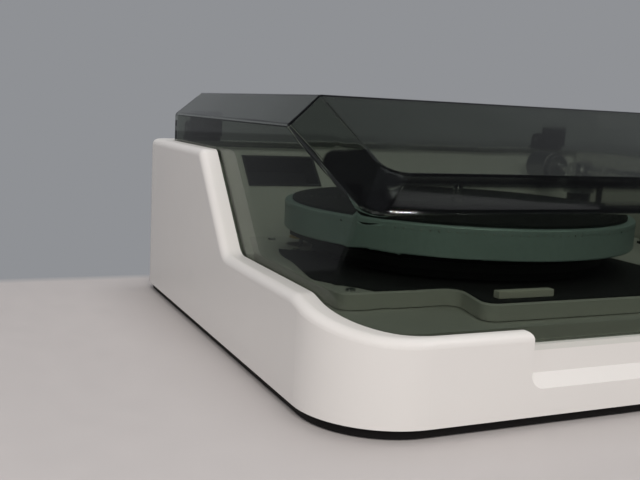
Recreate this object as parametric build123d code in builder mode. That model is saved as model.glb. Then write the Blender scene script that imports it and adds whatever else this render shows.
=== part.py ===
"""Belt-drive record player: a white moulded plinth with a faceted smoked hood.

The frame stands on the table: origin under the middle of the plinth, X to the
right, Y to the back, Z up, in millimetres. The front faces -Y.
"""

import os
from math import atan2, cos, degrees, hypot, radians, sin, sqrt, tan

from build123d import *

# Plinth: outer size and the rim line seen from the side
plinth_width = 430.0
plinth_depth = 380.0
front_corner_radius = 50.0
rear_corner_radius = 20.0
shell_wall = 3.0
rim_round = 5.0
rim_front_height = 50.5
rim_side_height = 62.0
rim_rear_height = 124.0
rim_front_flat = 8.0
rim_ramp_length = 50.0
rim_side_flat = 112.0
rim_rise_angle = 47.0
rim_bend_radii = (30.0, 20.0, 14.0, 8.0)
rim_side_width = 12.0
rim_front_width = 5.5
rear_shelf_depth = 32.0

# Base and feet
foot_height = 1.0
foot_radius = 14.0
foot_inset = 45.0
base_thickness = 5.0
base_inset = 3.0
base_rib_height = 9.0
base_rib_thickness = 2.5
base_rib_clearance = 0.5
deck_post_radius = 6.0
deck_post_inset = 24.0
deck_post_front_gap = 15.0
deck_post_rear_gap = 22.0

# Fasteners
screw_radius = 1.5
screw_head_radius = 3.0
screw_head_height = 1.2
screw_clearance = 0.1
screw_boss_radius = 5.0
screw_boss_inset = 7.0
screw_row_spacing = 110.0
base_screw_length = 16.0
base_screw_sink = 1.6

# Finger scoop in the middle of the front
scoop_width = 214.0
scoop_depth = 6.0
scoop_bottom = 20.6
scoop_slant_top = 27.3
scoop_lip_height = 39.0
scoop_corner_radius = 8.0
scoop_back_wall = 3.5
scoop_rim_radius = 4.0

# Smoked hood
hood_side_gap = 1.0
hood_front_gap = 2.5
hood_rear_gap = 2.0
hood_wall = 3.0
hood_corner_radius = 42.0
hood_rear_radius = 4.0
hood_skirt_depth = 8.0
hood_rear_skirt = 4.0
hood_seat_gap = 0.5
hood_height = 162.4
hood_roof_front = 111.0
hood_panel_foot = 27.0
hood_panel_foot_height = 126.0
hood_panel_corner_radius = 12.0
hood_fold_corner_radius = 12.0
hood_taper_gap = 5.0
hood_facet_width = 21.0
hood_facet_drop = 17.4
hood_shoulder_back = 5.0
hood_front_wall_height = 109.3
hood_edge_round = 4.0
hood_inner_round = 1.5
hood_fold_limit = 20.0

# Hood hinges
hinge_offset = 28.5
hinge_width = 26.0
hinge_axis_behind_hood = 12.0
hinge_axis_rise = 9.0
hinge_pin_radius = 2.0
hinge_pin_clearance = 0.05
hinge_knuckle_radius = 5.0
hinge_ear_width = 6.0
hinge_side_clearance = 0.3
hinge_foot_thickness = 3.0
hinge_foot_depth = 18.0
hinge_leaf_thickness = 3.0
hinge_leaf_height = 18.0
hinge_leaf_base = 4.0

# Deck moulding inside the hood
deck_thickness = 3.0
deck_height = 46.0
deck_fit = 0.3
deck_lip_height = 4.0
deck_lip_width = 3.0
deck_lip_gap = 1.0
deck_cheek_width = 5.0
deck_cheek_drop = 1.0
deck_cheek_rear_gap = 4.0
deck_slope_angle = 47.0
deck_slope_thickness = 3.0
deck_slope_drop = 6.0
deck_well_side_gap = 39.0
deck_well_front_gap = 84.0
deck_well_rear_gap = 8.9
deck_well_radius = 12.0

# Accessory pocket in the rear slope
pocket_width = 64.0
pocket_height = 31.0
pocket_centre_x = -112.0
pocket_centre_along = 77.0
pocket_depth = 22.0
pocket_wall = 2.0
pocket_lip_height = 13.0
pocket_lip_depth = 1.2
pocket_lip_radius = 5.0

# White unit plate that carries the works, with a black sheet inlaid round the platter
plate_left_gap = 22.0
plate_right_gap = 13.0
plate_rear_gap = 2.9
plate_front_gap = 26.0
plate_step_depth = 41.0
plate_step_from_spindle = 58.0
plate_step_slant = 9.0
plate_thickness = 3.0
plate_corner_radius = 8.0
plate_edge_round = 1.0
plate_skirt_thickness = 1.6
plate_skirt_gap = 0.5
grommet_height = 7.0
grommet_radius = 6.0
grommet_inset = 8.0
plate_screw_length = 14.0
inlay_thickness = 0.8
inlay_margin = 3.0
inlay_edge = 1.2
inlay_corner_run = 22.0
inlay_corner_rise = 38.0

# Platter, its bearing and drive
spindle_x = -45.0
spindle_y = -16.0
platter_slope_gap = 15.0
platter_bottom = 74.0
platter_top = 92.5
platter_rim_wall = 5.0
platter_web = 4.0
platter_edge_round = 1.2
platter_hub_radius = 22.0
mat_edge = 5.0
mat_thickness = 1.6
mat_ring_count = 5
mat_ring_height = 0.5
mat_groove_width = 3.0
mat_hole_clearance = 0.5
mat_label_radius = 38.0
sub_platter_drive_gap = 11.2
sub_platter_bottom = 59.0
sub_platter_web = 3.0
sub_platter_rim_wall = 4.0
sub_platter_rim_gap = 1.0
sub_platter_hub_radius = 14.0
sub_platter_rib_count = 6
sub_platter_rib_width = 3.0
spindle_radius = 3.6
spindle_tip_height = 106.0
spindle_tip_share = 0.9
bearing_clearance = 0.05
bearing_outer_radius = 9.0
bearing_flange_radius = 20.0
bearing_flange_thickness = 3.0
bearing_top_gap = 0.5
bearing_floor = 3.0
thrust_ball_radius = 2.5
thrust_gap = 0.3
belt_height = 5.0
belt_thickness = 0.8
belt_gap = 0.3
belt_centre_height = 66.0
motor_side_gap = 28.0
motor_rear_gap = 32.0
motor_radius = 23.0
motor_height = 34.0
motor_collar_radius = 8.0
motor_collar_height = 2.5
motor_lug_count = 3
motor_lug_pitch = 27.0
motor_lug_radius = 6.0
motor_lug_thickness = 3.0
motor_grommet_radius = 5.5
motor_plate_gap = 4.0
motor_shaft_radius = 1.5
motor_bore_clearance = 0.05
pulley_radius = 7.0
pulley_flange_radius = 8.5
pulley_flange_height = 1.2
pulley_height = 10.0

# Pick-up arm
arm_rear_gap = 16.0
arm_reach_share = 0.9
arm_reach_margin = 75.85
arm_height = 111.0
arm_overhang = 15.8
arm_tube_radius = 4.0
arm_base_radius = 15.0
arm_stud_radius = 6.0
arm_nut_radius = 9.0
arm_nut_height = 5.0
arm_nut_sides = 6
arm_base_height = 8.0
arm_post_radius = 10.0
arm_post_top = 92.0
arm_yoke_radius = 13.0
arm_yoke_base = 4.0
arm_yoke_cheek = 3.5
arm_yoke_gap = 0.4
arm_yoke_stem_radius = 5.0
arm_yoke_stem_length = 24.0
arm_stem_clearance = 0.06
arm_hub_radius = 7.0
arm_hub_width = 13.0
arm_cheek_depth = 12.0
arm_hub_clearance = 0.4
arm_pin_radius = 1.5
arm_pin_clearance = 0.05
arm_tail_length = 62.0
arm_tail_radius = 3.5
counterweight_radius = 13.0
counterweight_length = 26.0
counterweight_centre = 47.0
counterweight_clearance = 0.05
counterweight_ring_length = 5.0
counterweight_round = 1.5
head_offset_angle = 22.0
head_length = 44.0
head_reach = 32.0
head_width = 18.0
head_neck_width = 10.0
head_thickness = 3.0
head_collar_length = 9.0
head_collar_radius = 5.5
head_shoulder = 10.0
head_corner_radius = 3.0
finger_lift_length = 12.0
finger_lift_rise = 1.0
finger_lift_root = 2.0
finger_lift_width = 4.0
finger_lift_thickness = 1.2
cartridge_length = 24.0
cartridge_width = 15.0
cartridge_height = 8.0
cartridge_taper = 3.0
stylus_length = 9.0
stylus_width = 5.0
stylus_height = 3.0
stylus_tip_length = 1.5
rest_from_stylus = 53.0
rest_post_radius = 4.0
rest_cradle_reach = 6.0
rest_cradle_depth = 10.0
rest_cradle_thickness = 5.0
rest_gap = 0.3
clip_pin_radius = 1.2
clip_axis_rise = 6.5
clip_axis_offset = 7.5
clip_ear = 2.5
clip_ear_radius = 3.0
clip_hub_radius = 2.6
clip_side_clearance = 0.3
clip_length = 16.0
clip_pin_clearance = 0.05
clip_thickness = 2.0

# Cueing lift
lift_radius = 45.0
lift_post_angle = 250.0
lift_bar_start = 222.0
lift_bar_end = 274.0
lift_bar_width = 5.0
lift_bar_thickness = 3.0
lift_gap = 2.0
lift_rod_engagement = 20.0
lift_rod_end_gap = 0.5
lift_rod_radius = 2.5
lift_rod_clearance = 0.05
lift_housing_radius = 6.0
lift_housing_top = 88.0
lever_side_gap = 18.0
lever_from_pivot = 58.0
lever_axis_height = 10.0
lever_hub_radius = 5.0
lever_hub_width = 8.0
lever_length = 40.0
lever_thickness = 4.0
lever_knob_radius = 4.5
lever_knob_length = 10.0
lever_pin_radius = 1.5
lever_pin_clearance = 0.05
lever_ear_width = 3.0
lever_ear_clearance = 0.3
lever_foot_depth = 16.0
lever_foot_thickness = 2.0
lever_ear_radius = 5.0

# Sliding control on the front of the unit plate
control_from_step = 23.0
control_front_inset = 10.0
control_length = 37.0
control_width = 5.0
control_height = 4.0
control_gap = 0.3
control_travel = 14.0
control_stem_length = 12.0
control_stem_width = 3.0
control_slot_clearance = 0.3
control_carriage_height = 3.0
control_carriage_width = 9.0

# Electrics
transformer_x = 105.0
transformer_y = -40.0
transformer_length = 50.0
transformer_width = 40.0
transformer_height = 30.0
transformer_core_height = 18.0
transformer_foot_length = 66.0
transformer_foot_thickness = 2.0
board_x = 40.0
board_rear_gap = 72.0
board_length = 150.0
board_width = 60.0
board_thickness = 1.6
board_stand_height = 10.0
board_stand_radius = 4.0
board_stand_inset = 6.0
socket_plate_x = 105.0
socket_plate_z = 27.0
socket_plate_length = 96.0
socket_plate_height = 20.0
socket_plate_thickness = 2.0
socket_opening_margin = 4.0
socket_pitch = 18.0
socket_count = 2
socket_radius = 4.2
socket_bore_radius = 1.6
socket_start = -34.0
inlet_offset = 24.0
inlet_length = 22.0
inlet_height = 11.0
inlet_depth = 18.0
inlet_wall = 1.5
inlet_floor = 4.0
inlet_pin_radius = 1.2
inlet_pin_length = 8.0
inlet_pin_pitch = 8.6

# Places that follow from the sizes above
half_width = plinth_width / 2
half_depth = plinth_depth / 2
base_top = foot_height + base_thickness
opening_half_width = half_width - rim_side_width
opening_front = -half_depth + rim_front_width
opening_rear = half_depth - rear_shelf_depth
hood_half_width = opening_half_width - hood_side_gap
hood_front = opening_front + hood_front_gap
hood_rear = opening_rear - hood_rear_gap
inner_half_width = hood_half_width - hood_wall
inner_front = hood_front + hood_wall
lip_half_width = inner_half_width - deck_lip_gap
lip_front = inner_front + deck_lip_gap
deck_bottom = deck_height - deck_thickness
rim_rise_start = -half_depth + rim_front_flat + rim_ramp_length + rim_side_flat
rim_rise_end = rim_rise_start + (rim_rear_height - rim_side_height) / tan(radians(rim_rise_angle))
slope_top_y = opening_rear
slope_top_z = rim_rear_height - deck_slope_drop
slope_foot_y = slope_top_y - (slope_top_z - deck_height) / tan(radians(deck_slope_angle))
slope_tan = tan(radians(deck_slope_angle))
well_half_width = inner_half_width - deck_well_side_gap
well_front = inner_front + deck_well_front_gap
well_rear = slope_foot_y - deck_well_rear_gap
deck_post_x = inner_half_width - deck_post_inset
deck_post_rows = (well_front + deck_post_front_gap, well_rear - deck_post_rear_gap)
plate_bottom = deck_height + grommet_height
plate_top = plate_bottom + plate_thickness
plate_left = -inner_half_width + plate_left_gap
plate_right = inner_half_width - plate_right_gap
plate_rear = slope_foot_y - plate_rear_gap
plate_front_right = inner_front + plate_front_gap
plate_front_left = plate_front_right + plate_step_depth
plate_step_x = spindle_x - plate_step_from_spindle
inlay_top = plate_top + inlay_thickness
hinge_axis_y = hood_rear + hinge_axis_behind_hood
hinge_axis_z = rim_rear_height + hinge_axis_rise
motor_top = plate_bottom - motor_plate_gap
motor_x = -well_half_width + motor_side_gap
motor_y = well_rear - motor_rear_gap
slope_at_platter = slope_foot_y + (platter_bottom - deck_height) / slope_tan
platter_radius = slope_at_platter - spindle_y - platter_slope_gap
mat_radius = platter_radius - mat_edge
sub_platter_radius = hypot(motor_x - spindle_x, motor_y - spindle_y) - sub_platter_drive_gap
inlay_radius = platter_radius + inlay_margin
arm_pivot_y = plate_rear - arm_rear_gap
arm_pivot_x = spindle_x + arm_reach_share * platter_radius + arm_reach_margin
arm_length = hypot(arm_pivot_x - spindle_x, arm_pivot_y - spindle_y) + arm_overhang
rest_distance = arm_length - rest_from_stylus
lever_x = plate_right - lever_side_gap
lever_y = arm_pivot_y - lever_from_pivot
control_x = plate_step_x + control_from_step
control_y = plate_front_right + control_front_inset
board_y = half_depth - board_rear_gap
belt_bottom = belt_centre_height - belt_height / 2
solid_reach = 2 * max(plinth_width, plinth_depth)


def rim_line(drop):
    """The rim seen from the left, lowered by drop, as one filleted line."""
    front_flat_end = -half_depth + rim_front_flat
    ramp_end = front_flat_end + rim_ramp_length
    return FilletPolyline(
        (-half_depth - rim_side_width, rim_front_height - drop),
        (front_flat_end, rim_front_height - drop),
        (ramp_end, rim_side_height - drop),
        (rim_rise_start, rim_side_height - drop),
        (rim_rise_end, rim_rear_height - drop),
        (half_depth + rim_side_width, rim_rear_height - drop),
        radius=list(rim_bend_radii),
    )


def below_rim(drop):
    """Everything under the rim line lowered by drop, across the whole width."""
    with BuildPart() as region:
        with BuildSketch(Plane.YZ):
            with BuildLine():
                top = rim_line(drop)
                Polyline(
                    top @ 1,
                    (half_depth + rim_side_width, -solid_reach),
                    (-half_depth - rim_side_width, -solid_reach),
                    top @ 0,
                )
            make_face()
        extrude(amount=solid_reach, both=True)
    return region.part


def rounded_plan(half_x, front, rear, front_radius, rear_radius):
    """A plan with its own radii at the front and the rear corners."""
    with BuildSketch() as plan:
        with Locations((0, (front + rear) / 2)):
            Rectangle(2 * half_x, rear - front)
        fillet(plan.vertices().group_by(Axis.Y)[0], front_radius)
        fillet(plan.vertices().group_by(Axis.Y)[-1], rear_radius)
    return plan.sketch


def plinth_plan(inset):
    """The plinth's plan, drawn in by inset all round."""
    return rounded_plan(
        half_width - inset,
        -half_depth + inset,
        half_depth - inset,
        front_corner_radius - inset,
        rear_corner_radius - inset,
    )


def opening_plan():
    """The hole in the top of the plinth that the hood stands in."""
    return rounded_plan(
        opening_half_width,
        opening_front,
        opening_rear,
        hood_corner_radius + hood_side_gap,
        hood_rear_radius,
    )


def prism(sketch, bottom, top):
    """A sketch drawn on the ground, raised between two heights."""
    with BuildPart() as block:
        with BuildSketch(Plane.XY.offset(bottom)):
            add(sketch)
        extrude(amount=top - bottom)
    return block.part


def screw(radius, length, head_radius, head_height):
    """A pan-head screw, head down, with the underside of its head at Z 0."""
    with BuildPart() as body:
        Cylinder(radius, length, align=(Align.CENTER, Align.CENTER, Align.MIN))
        Cylinder(head_radius, head_height, align=(Align.CENTER, Align.CENTER, Align.MAX))
        fillet(body.faces().sort_by(Axis.Z)[0].edges(), head_height / 2)
    return body.part


def write(part, name):
    """Labels a finished piece and writes its file."""
    part.label = name
    export_step(part, f"parts/{name}.step")


os.makedirs("parts", exist_ok=True)

screw_points = [
    (side * (half_width - screw_boss_inset), row * screw_row_spacing)
    for side in (-1, 1)
    for row in (-1, 0, 1)
]
foot_points = [
    (x * (half_width - foot_inset), y * (half_depth - foot_inset)) for x in (-1, 1) for y in (-1, 1)
]

# Plinth shell: outer moulding with the stepped rim and the finger scoop
scoop_back = -half_depth + scoop_depth
shell_inside = prism(plinth_plan(shell_wall), base_top, solid_reach)

with BuildPart() as scoop_cut:
    with BuildSketch(Plane.YZ):
        with BuildLine():
            Polyline(
                (-half_depth - scoop_depth, scoop_bottom),
                (-half_depth, scoop_bottom),
                (scoop_back, scoop_slant_top),
                (scoop_back, rim_side_height),
                (-half_depth - scoop_depth, rim_side_height),
                close=True,
            )
        make_face()
    extrude(amount=half_width, both=True)
    with BuildSketch(Plane.XZ.offset(half_depth - scoop_depth)) as scoop_face:
        with Locations((0, scoop_bottom)):
            Rectangle(scoop_width, rim_side_height - scoop_bottom, align=(Align.CENTER, Align.MIN))
        with Locations((0, rim_front_height)):
            Rectangle(
                scoop_width + 4 * scoop_rim_radius,
                rim_side_height - rim_front_height,
                align=(Align.CENTER, Align.MIN),
            )
        fillet(scoop_face.vertices().group_by(Axis.Y)[0], scoop_corner_radius)
        rim_corners = scoop_face.vertices().group_by(Axis.Y)[-2].sort_by(Axis.X)
        fillet(rim_corners[1:-1], scoop_rim_radius)
    extrude(amount=2 * scoop_depth, mode=Mode.INTERSECT)

with BuildPart() as plinth_shell:
    with BuildSketch(Plane.XY.offset(base_top)):
        add(plinth_plan(0))
    extrude(amount=rim_rear_height)
    add(below_rim(0), mode=Mode.INTERSECT)
    rim_edges = plinth_shell.edges().filter_by(
        lambda edge: edge.center().Z > base_top + rim_round
        and not edge.is_interior
        and abs(edge.tangent_at(0.5).Z) < cos(radians(90 - rim_rise_angle - 1))
        and (abs(edge.tangent_at(0.5).X) < 1 - 1e-6 or abs(edge.center().Y) > half_depth - 1)
    )
    fillet(rim_edges, rim_round)
    add(shell_inside & below_rim(shell_wall), mode=Mode.SUBTRACT)
    add(prism(opening_plan(), base_top, solid_reach), mode=Mode.SUBTRACT)
    with BuildSketch(Plane.XY.offset(scoop_bottom - scoop_back_wall)):
        with Locations((0, -half_depth + shell_wall / 2)):
            Rectangle(
                scoop_width + 2 * scoop_back_wall,
                scoop_depth + scoop_back_wall - shell_wall / 2,
                align=(Align.CENTER, Align.MIN),
            )
    extrude(amount=scoop_lip_height - scoop_bottom + scoop_back_wall)
    add(scoop_cut.part, mode=Mode.SUBTRACT)
    with Locations(*[(x, y, base_top) for x, y in screw_points]):
        Cylinder(
            screw_boss_radius,
            base_screw_length,
            align=(Align.CENTER, Align.CENTER, Align.MIN),
        )
        Cylinder(
            screw_radius + screw_clearance,
            base_screw_length,
            align=(Align.CENTER, Align.CENTER, Align.MIN),
            mode=Mode.SUBTRACT,
        )
    with Locations((socket_plate_x, half_depth, socket_plate_z)):
        Box(
            socket_plate_length - 2 * socket_opening_margin,
            2 * shell_wall,
            socket_plate_height - 2 * socket_opening_margin,
            mode=Mode.SUBTRACT,
        )

write(plinth_shell.part, "plinth_shell")

# Deck moulding: groove for the hood, low lip, cheeks, rear slope and well
ring_bottom = scoop_lip_height
deck_edge = shell_wall + deck_fit
groove_drop = hood_skirt_depth + hood_seat_gap
slope_sag = deck_slope_thickness / cos(radians(deck_slope_angle))
lip_plan = rounded_plan(
    lip_half_width, lip_front, slope_top_y, hood_corner_radius - hood_wall - deck_lip_gap, hood_rear_radius
)
lip_inner_plan = rounded_plan(
    lip_half_width - deck_lip_width,
    lip_front + deck_lip_width,
    slope_top_y,
    hood_corner_radius - hood_wall - deck_lip_gap - deck_lip_width,
    hood_rear_radius,
)
slope_plane = Plane(
    origin=(0, slope_foot_y, deck_height),
    x_dir=(1, 0, 0),
    z_dir=(0, -sin(radians(deck_slope_angle)), cos(radians(deck_slope_angle))),
)
grommet_points = [
    (plate_left + grommet_inset, plate_front_left + grommet_inset),
    (plate_left + grommet_inset, plate_rear - grommet_inset),
    (plate_right - grommet_inset, plate_front_right + grommet_inset),
    (plate_right - grommet_inset, plate_rear - grommet_inset),
]

cheek_end = hood_rear - hood_wall - hood_rear_radius - deck_cheek_rear_gap
lip_block = prism(lip_plan, 0, solid_reach)
side_void = (
    prism(plinth_plan(deck_edge + deck_thickness), 0, solid_reach)
    - prism(offset(lip_plan, deck_thickness), 0, solid_reach)
) & below_rim(groove_drop + deck_thickness)

with BuildPart() as cheeks:
    with BuildSketch(Plane.XY.offset(ring_bottom)):
        with Locations((0, rim_rise_start)):
            Rectangle(2 * lip_half_width, cheek_end - rim_rise_start, align=(Align.CENTER, Align.MIN))
            Rectangle(
                2 * (lip_half_width - deck_cheek_width),
                cheek_end - rim_rise_start,
                align=(Align.CENTER, Align.MIN),
                mode=Mode.SUBTRACT,
            )
    extrude(amount=rim_rear_height)
    add(below_rim(deck_cheek_drop), mode=Mode.INTERSECT)

with BuildPart() as deck_panel:
    with BuildSketch(Plane.XY.offset(ring_bottom)):
        add(plinth_plan(deck_edge))
    extrude(amount=rim_rear_height)
    add(below_rim(deck_edge), mode=Mode.INTERSECT)
    add(lip_block, mode=Mode.SUBTRACT)
    add(prism(opening_plan(), 0, solid_reach) - below_rim(groove_drop), mode=Mode.SUBTRACT)
    add(side_void, mode=Mode.SUBTRACT)
    with BuildSketch(Plane.XY.offset(deck_bottom)):
        add(lip_plan)
    extrude(amount=deck_thickness)
    with BuildSketch(Plane.XY.offset(ring_bottom)):
        add(lip_plan)
        add(lip_inner_plan, mode=Mode.SUBTRACT)
    extrude(amount=deck_height + deck_lip_height - ring_bottom)
    with BuildSketch(Plane.XY.offset(ring_bottom)):
        with Locations((0, slope_foot_y + slope_sag)):
            Rectangle(
                2 * lip_half_width,
                half_depth - deck_edge - deck_thickness - slope_foot_y - slope_sag,
                align=(Align.CENTER, Align.MIN),
            )
    extrude(amount=slope_top_z - slope_sag - ring_bottom, mode=Mode.SUBTRACT)
    add(cheeks.part)
    with BuildSketch(Plane.YZ):
        with BuildLine():
            Polyline(
                (slope_foot_y, deck_height),
                (slope_top_y, slope_top_z),
                (slope_top_y, slope_top_z - slope_sag),
                (slope_foot_y + (slope_sag - deck_thickness) / slope_tan, deck_bottom),
                (slope_foot_y, deck_bottom),
                close=True,
            )
        make_face()
    extrude(amount=lip_half_width, both=True)
    with BuildSketch(slope_plane):
        with Locations((pocket_centre_x, pocket_centre_along)):
            Rectangle(pocket_width, pocket_height)
    extrude(amount=-2 * deck_slope_thickness, mode=Mode.SUBTRACT)
    with BuildSketch(slope_plane):
        with Locations((pocket_centre_x, pocket_centre_along - (pocket_height + pocket_lip_height) / 2)):
            pocket_lip = Rectangle(pocket_width, pocket_lip_height)
        fillet(pocket_lip.vertices().group_by(Axis.Y)[0], pocket_lip_radius)
    extrude(amount=-pocket_lip_depth, mode=Mode.SUBTRACT)
    with BuildSketch(Plane.XY.offset(deck_bottom)):
        with Locations((0, (well_front + well_rear) / 2)):
            RectangleRounded(2 * well_half_width, well_rear - well_front, deck_well_radius)
    extrude(amount=deck_thickness, mode=Mode.SUBTRACT)
    add(scoop_cut.part, mode=Mode.SUBTRACT)
    with Locations(*[(x, y, deck_bottom) for x, y in grommet_points]):
        Cylinder(
            screw_radius + screw_clearance,
            deck_thickness,
            align=(Align.CENTER, Align.CENTER, Align.MIN),
            mode=Mode.SUBTRACT,
        )

write(deck_panel.part, "deck_panel")

# Black tray set in the pocket of the rear slope
with BuildPart() as accessory_tray:
    with BuildSketch(slope_plane):
        with Locations((pocket_centre_x, pocket_centre_along)):
            Rectangle(pocket_width, pocket_height)
    extrude(amount=-pocket_depth)
    with BuildSketch(slope_plane):
        with Locations((pocket_centre_x, pocket_centre_along)):
            Rectangle(pocket_width - 2 * pocket_wall, pocket_height - 2 * pocket_wall)
    extrude(amount=-(pocket_depth - pocket_wall), mode=Mode.SUBTRACT)

write(accessory_tray.part, "accessory_tray")

# Base pan, feet and the screws that hold the shell to it
with BuildPart() as base_pan:
    with BuildSketch(Plane.XY.offset(foot_height)):
        add(plinth_plan(base_inset))
    extrude(amount=base_thickness)
    with BuildSketch(Plane.XY.offset(base_top)):
        add(plinth_plan(shell_wall + base_rib_clearance))
        add(plinth_plan(shell_wall + base_rib_clearance + base_rib_thickness), mode=Mode.SUBTRACT)
    extrude(amount=base_rib_height)
    with Locations(*[(x, y, base_top) for x, y in screw_points]):
        Cylinder(
            screw_boss_radius + base_rib_clearance,
            base_rib_height,
            align=(Align.CENTER, Align.CENTER, Align.MIN),
            mode=Mode.SUBTRACT,
        )
    with Locations(*[(x, y, foot_height) for x, y in screw_points]):
        Cylinder(
            screw_radius + screw_clearance,
            base_thickness,
            align=(Align.CENTER, Align.CENTER, Align.MIN),
            mode=Mode.SUBTRACT,
        )
        Cylinder(
            screw_head_radius + screw_clearance,
            base_screw_sink,
            align=(Align.CENTER, Align.CENTER, Align.MIN),
            mode=Mode.SUBTRACT,
        )
    with Locations(*[(x, y, base_top) for x in (-deck_post_x, deck_post_x) for y in deck_post_rows]):
        Cylinder(
            deck_post_radius,
            deck_bottom - base_top,
            align=(Align.CENTER, Align.CENTER, Align.MIN),
        )

write(base_pan.part, "base_pan")

with BuildPart() as rubber_feet:
    with BuildSketch():
        with Locations(*foot_points):
            Circle(foot_radius)
    extrude(amount=foot_height)

write(rubber_feet.part, "rubber_feet")

base_screw = screw(screw_radius, base_screw_length, screw_head_radius, screw_head_height)
with BuildPart() as base_screws:
    with Locations(*[(x, y, foot_height + base_screw_sink) for x, y in screw_points]):
        add(base_screw)

write(base_screws.part, "base_screws")

# Smoked hood: side facets along the roof and a facet ribbon round the front panel
facet_slope = degrees(atan2(hood_facet_drop, hood_facet_width))
roof_front = (-half_depth + hood_roof_front, hood_height)
panel_foot = (-half_depth + hood_panel_foot, hood_panel_foot_height)
panel_slope = degrees(atan2(roof_front[1] - panel_foot[1], roof_front[0] - panel_foot[0]))
front_wall_top = (hood_front, hood_front_wall_height)
front_facet_slope = degrees(
    atan2(panel_foot[1] - front_wall_top[1], panel_foot[0] - front_wall_top[0])
)
shoulder = (roof_front[0] - hood_shoulder_back, hood_height - hood_facet_drop)


def inset_corner(point, slope_before, slope_after, inset):
    """A corner of a convex outline drawn in by inset; slopes are in degrees."""
    middle = radians((slope_before + slope_after) / 2)
    reach = inset / cos(radians((slope_before - slope_after) / 2))
    return point[0] + reach * sin(middle), point[1] - reach * cos(middle)


def tilted_plane(low, high):
    """The plane across the hood through two points of its side view."""
    slope = atan2(high[1] - low[1], high[0] - low[0])
    return Plane(origin=(0, *low), x_dir=(1, 0, 0), z_dir=(0, -sin(slope), cos(slope)))


def tapered_walls(low_plan, high_plan, taper_top):
    """Upright walls whose front corners tighten from the rim to a height and then stay."""
    with BuildPart() as walls:
        add(prism(low_plan, 0, rim_front_height))
        with BuildSketch(Plane.XY.offset(rim_front_height)):
            add(low_plan)
        with BuildSketch(Plane.XY.offset(taper_top)):
            add(high_plan)
        loft(ruled=True)
        add(prism(high_plan, taper_top, 2 * hood_height))
    return walls.part


def top_of_cut(solid, plane):
    """A solid cut off by a tilted plane: what is left below it and its top face."""
    with BuildPart() as block:
        add(solid)
        split(bisect_by=plane, keep=Keep.BOTTOM)
    return block.part, block.faces().sort_by(Axis(plane.origin, plane.z_dir))[-1]


def hood_block(inset, round_radius):
    """The hood's outer form as a solid, drawn in by inset, with its folds rounded."""
    side_top = inset_corner((0, shoulder[1]), 90, facet_slope, inset)
    facet_top = inset_corner((hood_facet_width, hood_height), facet_slope, 0, inset)
    front_top = inset_corner(front_wall_top, 90, front_facet_slope, inset)
    foot = inset_corner(panel_foot, front_facet_slope, panel_slope, inset)
    ridge = inset_corner(roof_front, panel_slope, 0, inset)
    half = hood_half_width - side_top[0]
    rear = hood_rear - inset
    with BuildPart() as roof_form:
        with BuildSketch(Plane.XZ.offset(-rear)):
            with BuildLine():
                Polyline(
                    (-half, 0),
                    (-half, side_top[1]),
                    (facet_top[0] - hood_half_width, facet_top[1]),
                    (hood_half_width - facet_top[0], facet_top[1]),
                    (half, side_top[1]),
                    (half, 0),
                    close=True,
                )
            make_face()
        extrude(amount=plinth_depth)
    front = hood_front + inset
    taper_top = front_top[1] - hood_taper_gap
    upright = tapered_walls(
        rounded_plan(half, front, rear, hood_corner_radius - inset, hood_rear_radius),
        rounded_plan(half, front, rear, hood_fold_corner_radius - inset, hood_rear_radius),
        taper_top,
    )
    panel_plan = rounded_plan(
        hood_half_width - facet_top[0], foot[0], rear, hood_panel_corner_radius, hood_rear_radius
    )
    walls, wall_edge = top_of_cut(upright, tilted_plane(front_top, (shoulder[0], side_top[1])))
    panel_edge = top_of_cut(prism(panel_plan, 0, 2 * hood_height), tilted_plane(foot, ridge))[1]
    with BuildPart() as block:
        add(walls)
        loft(sections=[wall_edge, panel_edge], ruled=True)
        add(roof_form.part, mode=Mode.INTERSECT)
        folds = block.edges().filter_by(
            lambda edge: edge.center().Z > taper_top + hood_taper_gap / 2
            and edge.center().Y < rear - hood_rear_radius
            and abs(edge.tangent_at(0.5).Z) < cos(radians(hood_fold_limit))
        )
        fillet(folds, round_radius)
    return block.part


with BuildPart() as hood:
    add(hood_block(0, hood_edge_round))
    add(hood_block(hood_wall, hood_inner_round), mode=Mode.SUBTRACT)
    add(below_rim(hood_skirt_depth), mode=Mode.SUBTRACT)
    with BuildSketch(Plane.XY):
        with Locations((0, hood_rear)):
            Rectangle(plinth_width, hood_wall + deck_lip_gap, align=(Align.CENTER, Align.MAX))
    extrude(amount=rim_rear_height - hood_rear_skirt, mode=Mode.SUBTRACT)

write(hood.part, "hood")

# Hood hinges: a foot with two ears, a pin, and a leaf with its knuckle
hinge_leaf_face = hood_rear + hinge_leaf_thickness
hinge_foot_front = hinge_leaf_face + deck_lip_gap
knuckle_width = hinge_width - 2 * (hinge_ear_width + hinge_side_clearance)
ear_radius = hinge_knuckle_radius + hinge_leaf_thickness / 2


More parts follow.
